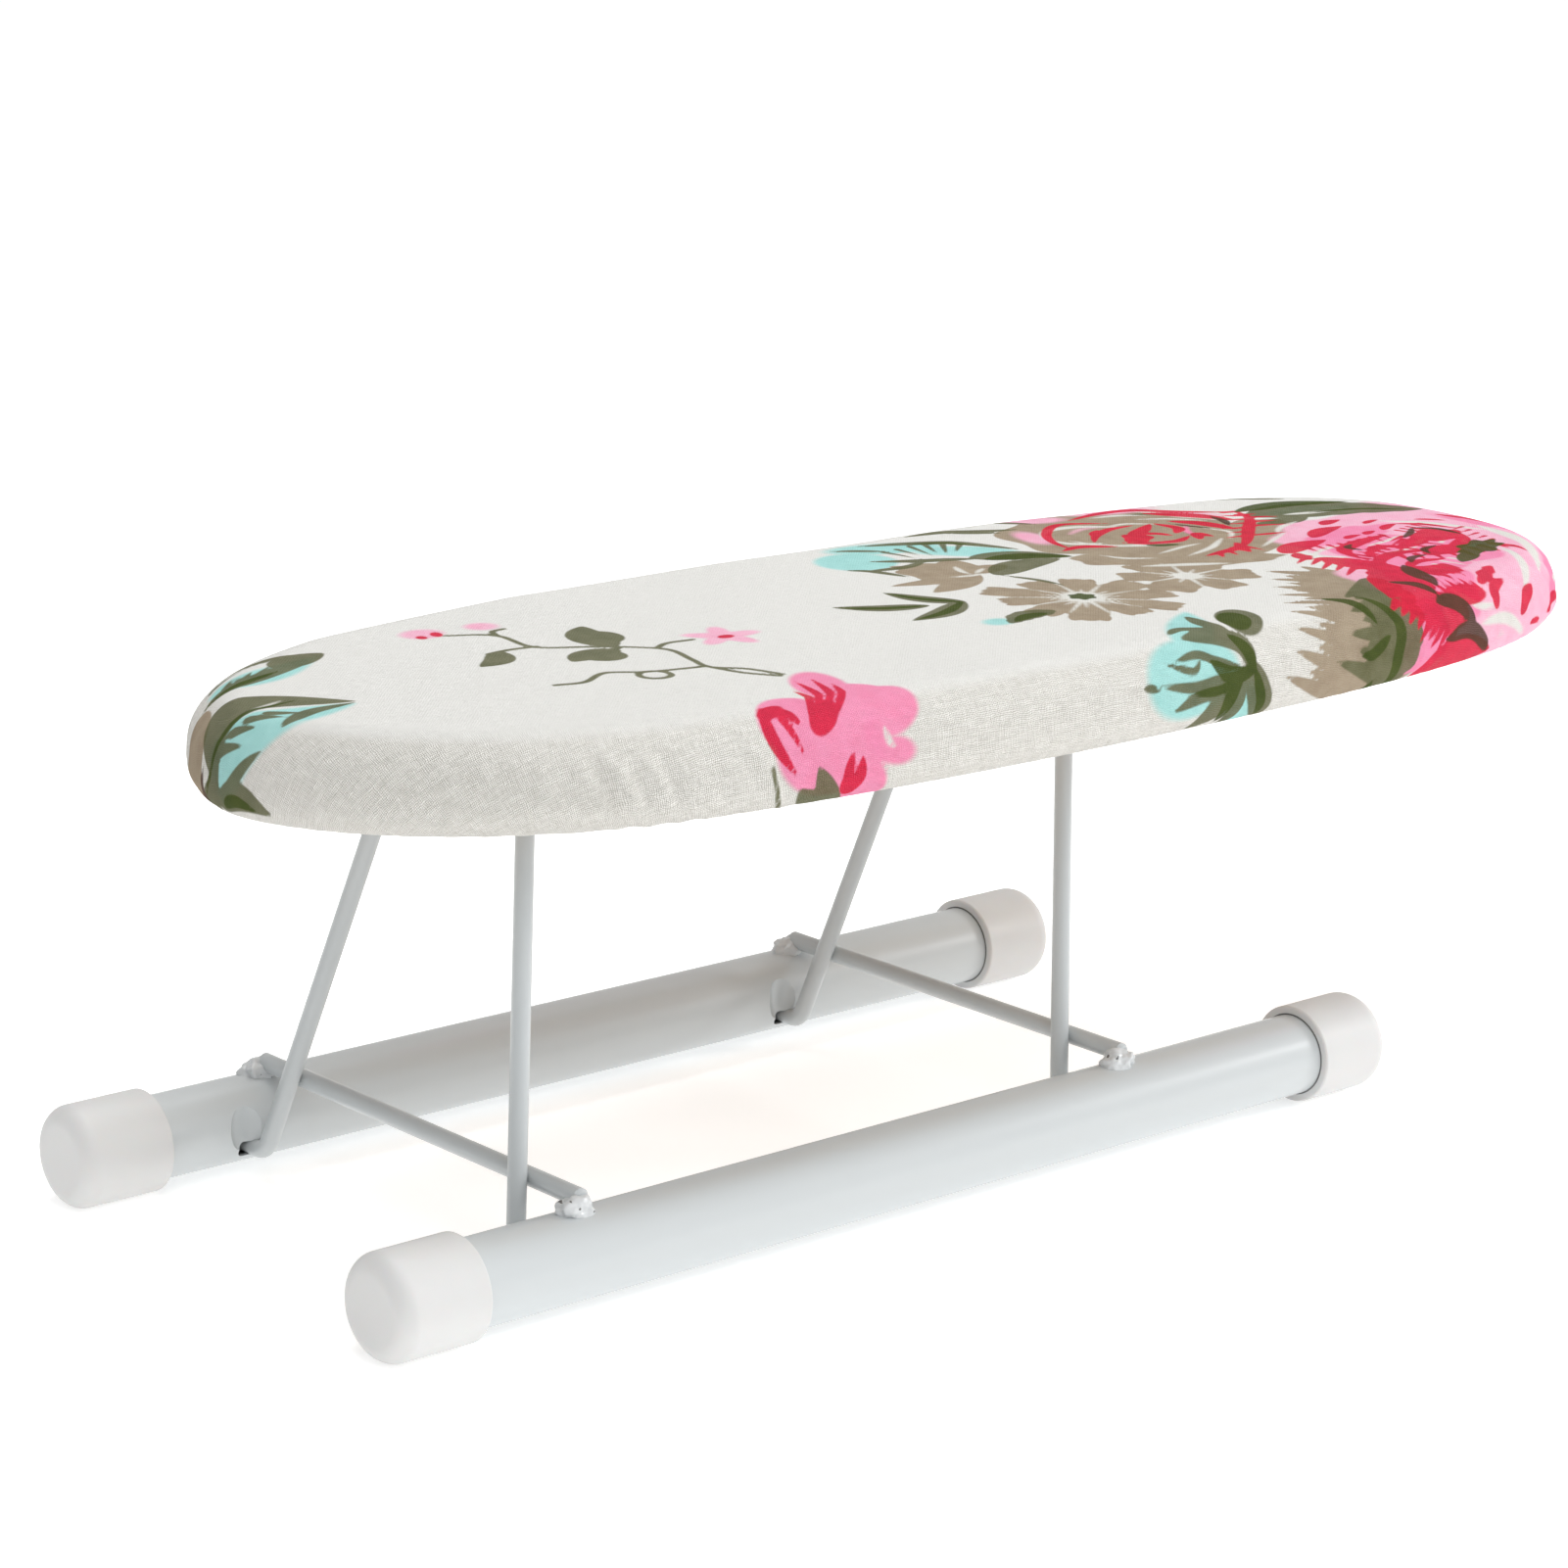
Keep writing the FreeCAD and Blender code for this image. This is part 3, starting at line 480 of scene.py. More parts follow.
class Print:
    """The dyes' fields over the cloth: mm from each dye's nearest edge, negative inside."""

    FAR = 6.0  # how far from a shape its field still counts

    def __init__(self, flat):
        self.flat = flat
        self.fields = {dye: np.full(len(flat), self.FAR) for dye in DYES}
        self.centre = np.zeros(2)
        self.turn = np.eye(2)

    def move(self, x=0.0, y=0.0, turn=0.0, about=(0.0, 0.0)):
        """What is drawn next is turned round the point about and moved by x and y."""
        angle = math.radians(turn)
        self.turn = np.array(
            [[math.cos(angle), -math.sin(angle)], [math.sin(angle), math.cos(angle)]]
        )
        about = np.array(about)
        self.centre = about + (x, y) - self.turn @ about

    def to_cloth(self, points):
        """Moves points as move() says."""
        return np.array(points, float) @ self.turn.T + self.centre

    def press(self, dye, near, distance):
        """Adds a shape to a dye's field."""
        field = self.fields[dye]
        field[near] = np.minimum(field[near], distance)

    def near(self, low, high):
        """Indices of the cloth's points inside a box, with a margin."""
        low = np.asarray(low) - self.FAR
        high = np.asarray(high) + self.FAR
        return np.nonzero(((self.flat > low) & (self.flat < high)).all(axis=1))[0]

    def band(self, dye, line, widths):
        """A band along a line of points, as wide at each as widths says."""
        reach = widths.max() / 2
        near = self.near(line.min(axis=0) - reach, line.max(axis=0) + reach)
        here = self.flat[near]
        best = np.full(len(near), self.FAR)
        for i in range(len(line) - 1):
            run = line[i + 1] - line[i]
            share = np.clip((here - line[i]) @ run / max(run @ run, 1e-9), 0, 1)
            gap = np.linalg.norm(here - line[i] - share[:, None] * run, axis=1)
            half = (widths[i] + (widths[i + 1] - widths[i]) * share) / 2
            best = np.minimum(best, gap - half)
        self.press(dye, near, best)

    def stroke(self, dye, points, width, shape="both"):
        """A brush stroke through a few points. shape says which ends taper: both, end or none."""
        line, share = smooth(self.to_cloth(points))
        profiles = {
            "both": np.sin(np.pi * np.clip(share, 0.02, 0.98)) ** 0.6,
            "end": np.clip(1 - share, 0, 1) ** 0.6,
            "none": np.ones(len(share)),
        }
        self.band(dye, line, width * profiles[shape])

    def leaf(self, dye, base, tip, width, bend=0.0, teeth=0, bite=0.25):
        """A leaf from base to a sharp tip. bend bows its spine, teeth notch its edges."""
        base = np.array(base, float)
        tip = np.array(tip, float)
        run = tip - base
        side = np.array((-run[1], run[0]))
        middle = (base + tip) / 2 + side * bend
        line, share = smooth(self.to_cloth([base, middle, tip]), 24)
        profile = np.sin(np.pi * np.clip(share, 0, 1) ** 0.8) ** 0.85
        if teeth:
            profile = profile * (1 - bite * ((share * teeth) % 1))
        self.band(dye, line, width * profile)

    def blob(self, dye, centre, across, along, turn=0.0, lobes=0, depth=0.0, phase=0.0):
        """An oval with half sizes across and along, whose edge may have lobes."""
        centre = self.to_cloth([centre])[0]
        reach = max(across, along) * (1 + depth)
        near = self.near(centre - reach, centre + reach)
        angle = math.radians(turn) + math.atan2(self.turn[1, 0], self.turn[0, 0])
        gap = self.flat[near] - centre
        u = (gap[:, 0] * math.cos(angle) + gap[:, 1] * math.sin(angle)) / across
        v = (-gap[:, 0] * math.sin(angle) + gap[:, 1] * math.cos(angle)) / along
        size = np.hypot(u, v)
        edge = 1.0
        if lobes:
            edge = 1 + depth * np.cos(lobes * np.arctan2(v, u) + phase)
        self.press(dye, near, (size - edge) * min(across, along))

    def fringe(self, dye, roots, tips, count, width):
        """Tapering strokes side by side, from one line of roots to one line of tips."""
        roots = np.array(roots, float)
        tips = np.array(tips, float)
        for i in range(count):
            share = i / max(count - 1, 1)
            root = along_line(roots, share)
            tip = along_line(tips, share)
            uneven = 1 - 0.18 * (i % 2)
            self.stroke(dye, [root, root + (tip - root) * uneven], width, "end")

    def strokes(self, dye, *rows):
        """A stroke of this dye for each row of points and width."""
        for row in rows:
            self.stroke(dye, *row)

    def leaves(self, dye, *rows):
        """A leaf of this dye for each row of base, tip, width and bend."""
        for row in rows:
            self.leaf(dye, *row)

    def blobs(self, dye, *rows):
        """An oval of this dye for each row of centre, half sizes and turn."""
        for row in rows:
            self.blob(dye, *row)

    def fringes(self, dye, *rows):
        """A fringe of this dye for each row of roots, tips, count and width."""
        for row in rows:
            self.fringe(dye, *row)


def smooth(points, per_leg=8):
    """A smooth line through the points, and how far along it each of its own points lies."""
    points = np.asarray(points, float)
    ends = np.concatenate([[2 * points[0] - points[1]], points, [2 * points[-1] - points[-2]]])
    steps = np.linspace(0, 1, per_leg, endpoint=False)[:, None]
    line = []
    for a, b, c, d in zip(ends, ends[1:], ends[2:], ends[3:]):
        curve = b + 0.5 * steps * (
            c - a + steps * (2 * a - 5 * b + 4 * c - d + steps * (3 * (b - c) + d - a))
        )
        line.append(curve)
    line.append(points[-1:])
    line = np.concatenate(line)
    run = np.concatenate([[0], np.cumsum(np.linalg.norm(np.diff(line, axis=0), axis=1))])
    return line, run / run[-1]


def along_line(points, share):
    """The point a share of the way along a line through the points."""
    at = share * (len(points) - 1)
    first = min(int(at), len(points) - 2)
    return points[first] + (points[first + 1] - points[first]) * (at - first)


def draw_nose_leaves(ink):
    """Aqua and olive leaves and a brown petal that fold over the nose."""
    ink.leaves(
        "aqua",
        ((-234, 31), (-188, 46), 13, -0.05), ((-262, 4), (-212, -7), 17, -0.1),
    )
    ink.blob("aqua", (-250, -8), 19, 8, -12)
    ink.leaf("tan", (-266, 34), (-240, 25), 20, -0.25)
    ink.strokes(
        "olive",
        ([(-240, 27), (-222, 32), (-202, 40), (-185, 47)], 6.5),
        ([(-232, 37), (-214, 48), (-196, 52), (-184, 49)], 3.4),
        ([(-266, -3), (-260, -10), (-249, -16)], 4),
    )
    ink.leaves(
        "olive",
        ((-204, 42), (-183, 49), 12, 0.05), ((-262, 4), (-210, -5), 15, 0.22),
        ((-272, 22), (-246, 3), 10, -0.3), ((-240, -14), (-211, -6), 5, 0.1),
        ((-271, 2), (-263, -28), 9, 0.1),
    )
    ink.fringes(
        "olive",
        ([(-228, 32), (-206, 40)], [(-218, 41), (-196, 47)], 4, 2.4),
        ([(-254, 0), (-236, -2)], [(-250, -9), (-228, -7)], 4, 4.5),
    )
    ink.strokes(
        "bare",
        ([(-226, 43), (-216, 47), (-206, 49)], 2.2), ([(-244, 2), (-234, 5), (-226, 8)], 1.8),
    )
    ink.strokes(
        "green",
        ([(-238, 27), (-224, 31), (-206, 38)], 2.6),
        ([(-268, 14), (-258, 5), (-240, 4), (-222, 6)], 2.2),
    )
    ink.leaf("green", (-270, -2), (-265, -22), 4, 0.1)
    ink.leaf("umber", (-270, 30), (-258, 12), 5, -0.2)


STEM = 2.0


def draw_vine(ink):
    """A thin stem with buds, heart-shaped leaves, one open flower and a curled tendril."""
    ring = [(-125 + 4.6 * math.cos(a), -29 + 4.6 * math.sin(a)) for a in np.linspace(1, 7, 11)]
    ink.blobs(
        "blush",
        ((-146, 52), 7, 6, 20), ((-126, 50), 5, 5), ((-77, -2), 9, 9, 0, 5, 0.35, 0.6),
    )
    for line in (
        [(-142, 46), (-130, 37), (-130, 20), (-117, 11), (-108, 4), (-101, -6), (-104, -20)],
        [(-104, -20), (-106, -30), (-99, -38), (-95, -49)],
        [(-106, -30), (-103, -41), (-97, -50)],
        [(-129, 20), (-138, 21), (-146, 20)],
        [(-130, 37), (-128, 42), (-123, 43)],
        [(-102, -2), (-96, 1), (-87, 0)],
        [(-110, 5), (-116, 3), (-118, 1)],
        [(-155, -22), (-146, -24), (-135, -19), (-124, -25), (-106, -29)],
        ring,
    ):
        ink.stroke("olive", line, STEM, "none")
    ink.leaves(
        "olive",
        ((-142, 21), (-158, 8), 9, 0.14), ((-110, 8), (-102, 33), 13, 0.12),
        ((-113, 3), (-133, -2), 11, -0.1),
    )
    ink.blobs(
        "olive",
        ((-107, 19), 7, 9, -15, 2, 0.1), ((-121, -1), 7, 7),
    )
    ink.blobs(
        "crimson",
        ((-149, 48), 1.7, 2.4, -20), ((-143, 49), 1.8, 3.4, -25), ((-77, -3), 2.8, 2.1),
    )


def draw_rosebud(ink):
    """A pink rosebud with crimson brush strokes, a pale fold and an olive sepal."""
    for x, y, across, along, turn in (
        (-96, -66, 8, 17, -28),
        (-118, -82, 10, 11, 0),
        (-106, -92, 19, 16, 0),
        (-87, -85, 12, 10, 0),
        (-86, -99, 7, 4, -15),
        (-97, -108, 8, 10, 10),
    ):
        ink.blob("pink", (x, y), across, along, turn)
    for root, tip in (
        ((-112, -86), (-106, -65)),
        ((-109, -84), (-98, -57)),
        ((-106, -84), (-92, -57)),
        ((-104, -86), (-91, -65)),
    ):
        ink.leaf("crimson", root, tip, 2.7, -0.04)
    ink.stroke("blush", [(-92, -87), (-93, -94), (-90, -101)], 5)
    ink.blob("pink", (-93, -77), 10, 10)
    ink.stroke("olive", [(-127, -95), (-126, -104), (-123, -120)], 1.6, 'none')
    ink.leaves(
        "olive",
        ((-100, -124), (-119, -103), 13, 0.05), ((-106, -120), (-112, -98), 9),
    )
    ink.stroke("bare", [(-89, -92), (-88, -96), (-86, -98)], 2.0)
    ink.leaves(
        "crimson",
        ((-122, -78), (-115, -86), 3.0, 0.1), ((-123, -77), (-116, -95), 2.2, 0.02),
        ((-126, -75), (-119, -100), 3.8, -0.1), ((-103, -108), (-100, -96), 3.6, 0.05),
        ((-102, -109), (-97, -98), 4, -0.1),
    )
    ink.blobs(
        "crimson",
        ((-107, -84), 4.4, 7, -38), ((-123, -78.5), 4.6, 2.6, 8), ((-102, -106), 3.2, 4),
    )


def draw_twig(ink):
    """Three slim olive leaves."""
    for base, tip, width in (
        ((0, -7), (-26, 9), 8),
        ((12, -10), (1, 15), 9),
        ((12, -9), (-18, -19), 9),
    ):
        ink.leaf("olive", base, tip, width, 0.08)
        ink.leaf("green", base, tip, width * 0.4, 0.08)


def draw_rear_leaves(ink):
    """An aqua leaf with olive brush marks, and darker leaves behind the small tan flower."""
    ink.blobs(
        "aqua",
        ((26, 55), 14, 13, 20), ((48, 66), 20, 8, -20), ((66, 47), 17, 8, -35),
    )
    ink.strokes(
        "olive",
        ([(31, 73), (38, 69), (46, 62)], 3.2),
        ([(44, 74), (58, 68), (72, 59), (79, 48), (83, 40)], 5.5),
        ([(30, 53), (46, 43), (62, 36)], 5), ([(14, 47), (20, 41), (24, 28)], 3.6),
        ([(18, 42), (34, 40), (46, 44)], 4), ([(66, 76), (80, 74), (92, 68), (104, 63)], 4.6),
        ([(80, 72), (90, 66), (96, 62)], 3), ([(104, 76), (110, 72), (116, 66)], 3),
    )
    ink.leaves(
        "olive",
        ((48, 14), (84, 22), 13, 0.1), ((60, 38), (90, 22), 13, 0.1),
    )
    ink.fringe("olive", [(44, 62), (60, 64), (72, 56)], [(46, 46), (54, 48), (60, 46)], 6, 2.2)
    ink.stroke("green", [(58, 67), (70, 60), (76, 50)], 2.6)
    ink.leaf("green", (62, 34), (90, 22), 8, 0.12)


def draw_small_flower(ink):
    """A tan flower half hidden under its neighbours."""
    for tip, width in (((9, 21), 8), ((14, 6), 11), ((30, 44), 12), ((52, 40), 14), ((62, 24), 10)):
        ink.leaf("tan", (44, 20), tip, width, 0.06)
    ink.blob("tan", (37, 28), 13, 12, 0, 5, 0.12)
    ink.strokes(
        "bare",
        ([(46, 31), (43, 25), (42, 20)], 2.2), ([(34, 20), (40, 18), (46, 17)], 2.0),
        ([(52, 24), (47, 21), (44, 19)], 1.8),
    )


def draw_daisy(ink, centre, reach, petals, start, width, notch):
    """An open tan flower: broad petals with notched ends, parted by bare lines."""
    cx, cy = centre
    for i in range(petals):
        angle = start + 2 * math.pi * i / petals + 0.12 * math.sin(3.1 * i)
        far = reach * (1 + 0.1 * math.sin(2.3 * i + 1))
        along = np.array((math.cos(angle), math.sin(angle)))
        across = np.array((-along[1], along[0]))
        middle = np.array((cx, cy)) + along * far * 0.62
        ink.blob("tan", middle, far * 0.42, far * width, math.degrees(angle))
        for side in (-1, 1):
            tip = np.array((cx, cy)) + along * far * 1.04 + across * side * far * width * 0.8
            ink.leaf("tan", middle, tip, far * width * 1.1)
        gap = angle + math.pi / petals
        root = np.array((math.cos(gap), math.sin(gap))) * far
        ink.stroke("bare", [centre + root * 0.16, centre + root * 0.8], notch, "end")
        vein = along * far
        ink.stroke("bare", [centre + vein * 0.2, centre + vein * 0.46], notch * 0.8, "end")


def draw_daisies(ink):
    """The two open flowers, the stem between them and one small leaf."""
    ink.stroke("olive", [(49, 12), (53, 1), (54, -10)], 2.8)
    draw_daisy(ink, np.array((46.0, -27.0)), 28, 10, 0.25, 0.22, 1.8)
    ink.blob("bare", (47, -25), 7, 6.5)
    ink.blob("green", (47, -25), 4.4, 4.0, 0, 6, 0.15)
    draw_daisy(ink, np.array((97.0, -21.0)), 22, 6, 0.55, 0.33, 1.8)
    ink.blob("bare", (97, -22), 4.5, 4.0)
    ink.blob("aqua", (2, -35), 5, 4)
    ink.leaf("olive", (26, -34), (3, -39), 10, -0.12, 5)
    ink.leaf("green", (22, -35), (6, -38), 5, -0.1)


def draw_rose(ink):
    """A large tan rose with crimson petal edges."""
    for x, y, across, along, turn in (
        (128, 40, 41, 33, -8),
        (108, 10, 24, 13, -12),
        (146, 4, 28, 14, 10),
        (170, 18, 18, 12, 20),
        (124, -10, 22, 8, -20),
    ):
        ink.blob("tan", (x, y), across, along, turn, 7, 0.06)
    ink.strokes(
        "blush",
        ([(166, 58), (176, 46), (181, 36)], 2.6), ([(113, 47), (122, 51), (131, 51)], 1.8),
    )
    ink.blobs(
        "blush",
        ((120, 71), 11, 5, -15), ((99, 50), 5, 10, -15), ((153, 68), 16, 4, -12),
    )
    ink.stroke("pink", [(146, 22), (150, 30), (156, 36)], 2.4)
    ink.stroke("olive", [(150, 62), (160, 58), (168, 50)], 2.4)
    ink.strokes(
        "bare",
        ([(102, 49), (110, 55), (124, 55), (137, 47)], 3.6),
        ([(101, 44), (103, 36), (112, 30)], 2.8), ([(139, 64), (150, 62), (158, 57)], 2.4),
        ([(112, 25), (122, 20), (134, 18)], 3.0), ([(98, 18), (101, 10), (109, 4)], 2.2),
        ([(96, -2), (108, -8), (122, -16)], 3.6), ([(120, 0), (134, 4), (150, 14)], 2.4),
        ([(152, 12), (160, 20), (158, 30)], 1.9),
        ([(106, 40), (108, 30), (116, 22), (128, 14)], 2.6),
        ([(150, 54), (160, 48), (168, 38)], 2.0), ([(132, 50), (142, 50), (150, 44)], 2.0),
        ([(114, 8), (126, 10), (138, 12)], 1.8), ([(150, -4), (162, 2), (174, 8)], 1.8),
        ([(170, 8), (178, 14), (190, 18)], 2.2),
    )
    ink.strokes(
        "crimson",
        ([(97, 30), (100, 42), (108, 53), (122, 61), (138, 54)], 3.6),
        ([(93, 30), (102, 31), (112, 24)], 4),
        ([(130, 65), (146, 68), (160, 66), (172, 54), (184, 43)], 4),
        ([(187, 44), (182, 32), (168, 19), (152, 5), (141, -2)], 4.5),
        ([(150, 4), (138, -2), (124, -4)], 4), ([(140, -8), (143, -2), (148, 6)], 4),
        ([(116, 40), (121, 44), (126, 47)], 3), ([(124, 25), (130, 34), (140, 40), (148, 45)], 5.5),
        ([(144, 29), (151, 35), (150, 45)], 4.4), ([(157, 45), (163, 36), (165, 22)], 6.5),
        ([(110, 33), (118, 40), (130, 46), (142, 47)], 3.6),
        ([(117, 27), (123, 21), (134, 19), (144, 23)], 4), ([(132, 35), (138, 32), (140, 27)], 4),
        ([(160, 60), (171, 46), (176, 33)], 7), ([(143, 17), (149, 24), (150, 18)], 4.5),
        ([(160, 12), (166, 10), (174, 8)], 2.4),
    )
    ink.blob("crimson", (127, 30), 8.5, 5, 42, 5, 0.12)
    ink.fringes(
        "crimson",
        ([(186, 42), (176, 26), (160, 12)], [(180, 47), (166, 31), (150, 14)], 7, 2.4),
        ([(182, 44), (184, 32), (174, 22)], [(190, 40), (192, 28), (186, 16)], 5, 2.6),
        ([(146, 2), (130, -4)], [(146, -10), (126, -10)], 4, 2.6),
    )
    ink.stroke("green", [(120, 20), (125, 16), (131, 14)], 3.4)
    ink.strokes(
        "umber",
        ([(174, 42), (172, 34), (168, 28)], 3.2), ([(154, 42), (157, 34), (160, 27)], 1.9),
    )


def draw_tail_leaf(ink):
    """A green and aqua leaf between the rose and the peony."""
    ink.leaf("aqua", (190, 33), (228, 24), 8, 0.1)
    ink.stroke("olive", [(196, 61), (206, 57), (218, 49)], 3)
    ink.leaves(
        "olive",
        ((184, 34), (243, 8), 24, 0.12, 6, 0.12), ((176, 22), (204, 26), 9, -0.1),
    )
    ink.leaf("bare", (196, 29), (216, 24), 3)
    ink.stroke("green", [(206, 27), (222, 22), (238, 12)], 2.4)
    ink.leaf("green", (186, 42), (232, 32), 9, 0.12)


def draw_peony(ink):
    """A large pale pink peony with crimson petals, dark hearts and bare streaks."""
    for x, y, across, along, turn in (
        (202, -20, 46, 38, -10),
        (207, -62, 42, 42, 15),
        (160, -70, 30, 36, -20),
        (236, -20, 22, 46, 5),
        (190, -105, 50, 14, 8),
    ):
        ink.blob("blush", (x, y), across, along, turn, 9, 0.05)
    for x, y, across, along, turn in (
        (134, -93, 13, 14, -10),
        (160, -66, 14, 22, -10),
        (184, -40, 30, 24, 10),
        (186, -8, 24, 8, 12),
        (228, -66, 5, 14, -25),
        (240, -20, 3, 20, 5),
    ):
        ink.blob("pink", (x, y), across, along, turn, 6, 0.1)
    ink.strokes(
        "bare",
        ([(214, -68), (228, -48), (236, -22)], 6), ([(228, -74), (240, -50), (246, -24)], 4),
        ([(196, -78), (206, -66), (212, -52)], 4), ([(166, -90), (182, -88), (200, -92)], 4),
        ([(206, -100), (222, -88), (234, -78)], 5), ([(214, 2), (226, -10), (232, -28)], 3.6),
        ([(150, -26), (160, -20), (172, -18)], 2.0), ([(156, -78), (164, -84), (176, -84)], 2.6),
    )
    ink.fringes(
        "bare",
        ([(168, -58), (186, -52)], [(172, -68), (188, -64)], 4, 1.8),
        ([(196, -30), (210, -38)], [(204, -26), (218, -32)], 3, 1.8),
    )
    ink.fringes(
        "crimson",
        ([(148, -34), (150, -60)], [(160, -40), (162, -66)], 7, 3.0),
        ([(152, -46), (166, -36), (184, -30)], [(150, -36), (164, -27), (182, -22)], 9, 2.6),
        ([(186, -32), (204, -24), (214, -14)], [(190, -42), (210, -34), (222, -22)], 8, 2.6),
        ([(160, -14), (176, -16), (196, -14)], [(158, -22), (174, -24), (194, -22)], 8, 2.0),
        ([(176, -40), (196, -46), (216, -44)], [(172, -48), (192, -56), (214, -56)], 8, 2.8),
        ([(144, -70), (136, -88)], [(156, -72), (150, -92)], 5, 3.0),
        ([(190, -30), (200, -20)], [(180, -36), (188, -24)], 4, 2.2),
        ([(150, -24), (150, -44)], [(138, -30), (137, -52)], 5, 3.0),
        ([(158, -62), (172, -60)], [(156, -74), (170, -72)], 5, 2.6),
        ([(206, -12), (222, -8)], [(208, -20), (226, -18)], 5, 1.8),
        ([(222, -40), (230, -20)], [(214, -42), (222, -22)], 5, 1.8),
    )
    draw_peony_petals(ink)
    draw_peony_heart(ink)


def draw_peony_petals(ink):
    """The peony's outer crimson petals, with fringed edges."""
    for base, tip, width in (
        ((174, -81), (187, -74), 4),
        ((175, -85), (179, -79), 4),
        ((193, -86), (203, -75), 6),
        ((220, -81), (233, -71), 5),
        ((203, -88), (213, -86), 2.4),
        ((147, -16), (175, -9), 10),
        ((174, -4), (197, 4), 7),
        ((193, 9), (205, 12), 5),
        ((181, -12), (191, -10), 3.4),
        ((192, -11), (200, -8), 3.4),
        ((206, 2), (215, 4), 3),
        ((203, -9), (215, -4), 4),
        ((146, -28), (151, -18), 6),
        ((214, -44), (219, -58), 3.6),
        ((239, 0), (243, -22), 3),
        ((226, -2), (234, -10), 2.4),
    ):
        ink.leaf("crimson", base, tip, width, 0.08)
    ink.leaves(
        "crimson",
        ((147, -52), (143, -82), 12, 0.1), ((146, -56), (127, -78), 13, 0.12),
        ((151, -28), (153, -70), 13, 0.08), ((134, -107), (178, -99), 15, 0.05),
        ((172, -76), (190, -66), 6, 0.0, 3, 0.5),
    )
    ink.blobs(
        "crimson",
        ((144, -84), 15, 7, -12), ((166, -62), 10, 6.5, -20), ((161, -80), 11, 4, 4),
    )
    ink.fringes(
        "crimson",
        ([(128, -80), (138, -88), (150, -92)], [(121, -84), (131, -95), (143, -100)], 9, 3.2),
        ([(142, -98), (160, -96)], [(146, -108), (166, -106)], 5, 2.4),
        ([(160, -58), (176, -58)], [(163, -74), (176, -68)], 6, 3.4),
        ([(153, -80), (170, -79)], [(152, -73), (168, -72)], 6, 2.8),
    )


def draw_peony_heart(ink):
    """Curled petals round the peony's middle, with green and umber shadows."""
    ink.strokes(
        "bare",
        ([(203, -46), (209, -43), (214, -42)], 1.8), ([(178, -24), (190, -22), (202, -18)], 1.8),
        ([(172, -36), (184, -35), (192, -34)], 1.8),
    )
    ink.strokes(
        "crimson",
        ([(161, -36), (166, -25), (178, -19), (197, -15)], 6),
        ([(214, -4), (222, -10), (226, -20)], 3), ([(184, -32), (198, -28), (210, -20)], 7),
        ([(172, -30), (180, -27), (188, -30)], 4.5),
        ([(158, -50), (164, -42), (178, -37), (190, -40)], 5.5),
        ([(162, -56), (172, -50), (184, -52)], 4.5), ([(166, -40), (170, -32), (178, -30)], 3),
        ([(196, -44), (208, -38), (218, -32)], 6), ([(150, -44), (158, -54), (160, -64)], 6),
    )
    ink.blobs(
        "crimson",
        ((212, -25), 11, 8, 10, 5, 0.1), ((194, -42), 10, 6, 15, 4, 0.1),
    )
    ink.leaf("green", (200, -50), (184, -59), 7)
    ink.blob("green", (208, -46), 13, 6, 22, 7, 0.16)
    ink.strokes(
        "umber",
        ([(164, -52), (158, -62), (152, -75)], 7), ([(141, -66), (145, -72), (148, -79)], 5),
        ([(145, -82), (154, -83), (162, -90)], 7), ([(146, -95), (160, -92), (175, -99)], 6),
        ([(172, -28), (171, -22), (176, -19)], 2.6), ([(170, -50), (176, -45), (184, -44)], 3),
        ([(198, -22), (206, -18), (214, -12)], 2.6), ([(214, -12), (220, -18), (220, -28)], 3),
        ([(186, -44), (190, -38), (198, -36)], 2.6),
    )


def draw_skirt_leaf(ink):
    """An aqua leaf with a fan of olive and dark green strokes, over the front edge."""
    ink.leaf("aqua", (26, -92), (57, -59), 14)
    ink.blobs(
        "aqua",
        ((28, -95), 19, 13, 10), ((50, -108), 7, 9),
    )
    ink.strokes(
        "olive",
        ([(7, -97), (10, -97), (13, -98)], 2.6),
        ([(18, -90), (24, -93), (29, -94), (32, -91)], 2.4),
        ([(23, -90), (32, -89), (38, -92), (49, -96)], 3.4),
        ([(14, -97), (28, -99), (38, -98), (50, -97)], 3.6),
        ([(20, -105), (30, -102), (40, -100), (52, -96)], 5),
        ([(29, -113), (37, -107), (42, -102), (50, -96)], 8),
        ([(44, -120), (46, -107), (50, -96)], 6), ([(52, -94), (55, -103), (61, -114)], 10),
        ([(52, -97), (51, -88), (43, -83), (32, -82)], 9),
        ([(51, -84), (42, -78), (37, -75), (30, -78)], 4.6), ([(49, -88), (49, -75), (52, -64)], 6),
    )
    ink.blob("olive", (63, -75), 7, 12.5, -38)
    ink.strokes(
        "green",
        ([(49, -84), (52, -90), (53, -97)], 5), ([(36, -92), (43, -97), (53, -97)], 5.5),
        ([(27, -101), (38, -101), (47, -99)], 3), ([(48, -97), (43, -104), (40, -112)], 5),
        ([(53, -96), (56, -104), (59, -113)], 4),
    )
    ink.blob("green", (61, -75), 5, 9.5, -38)


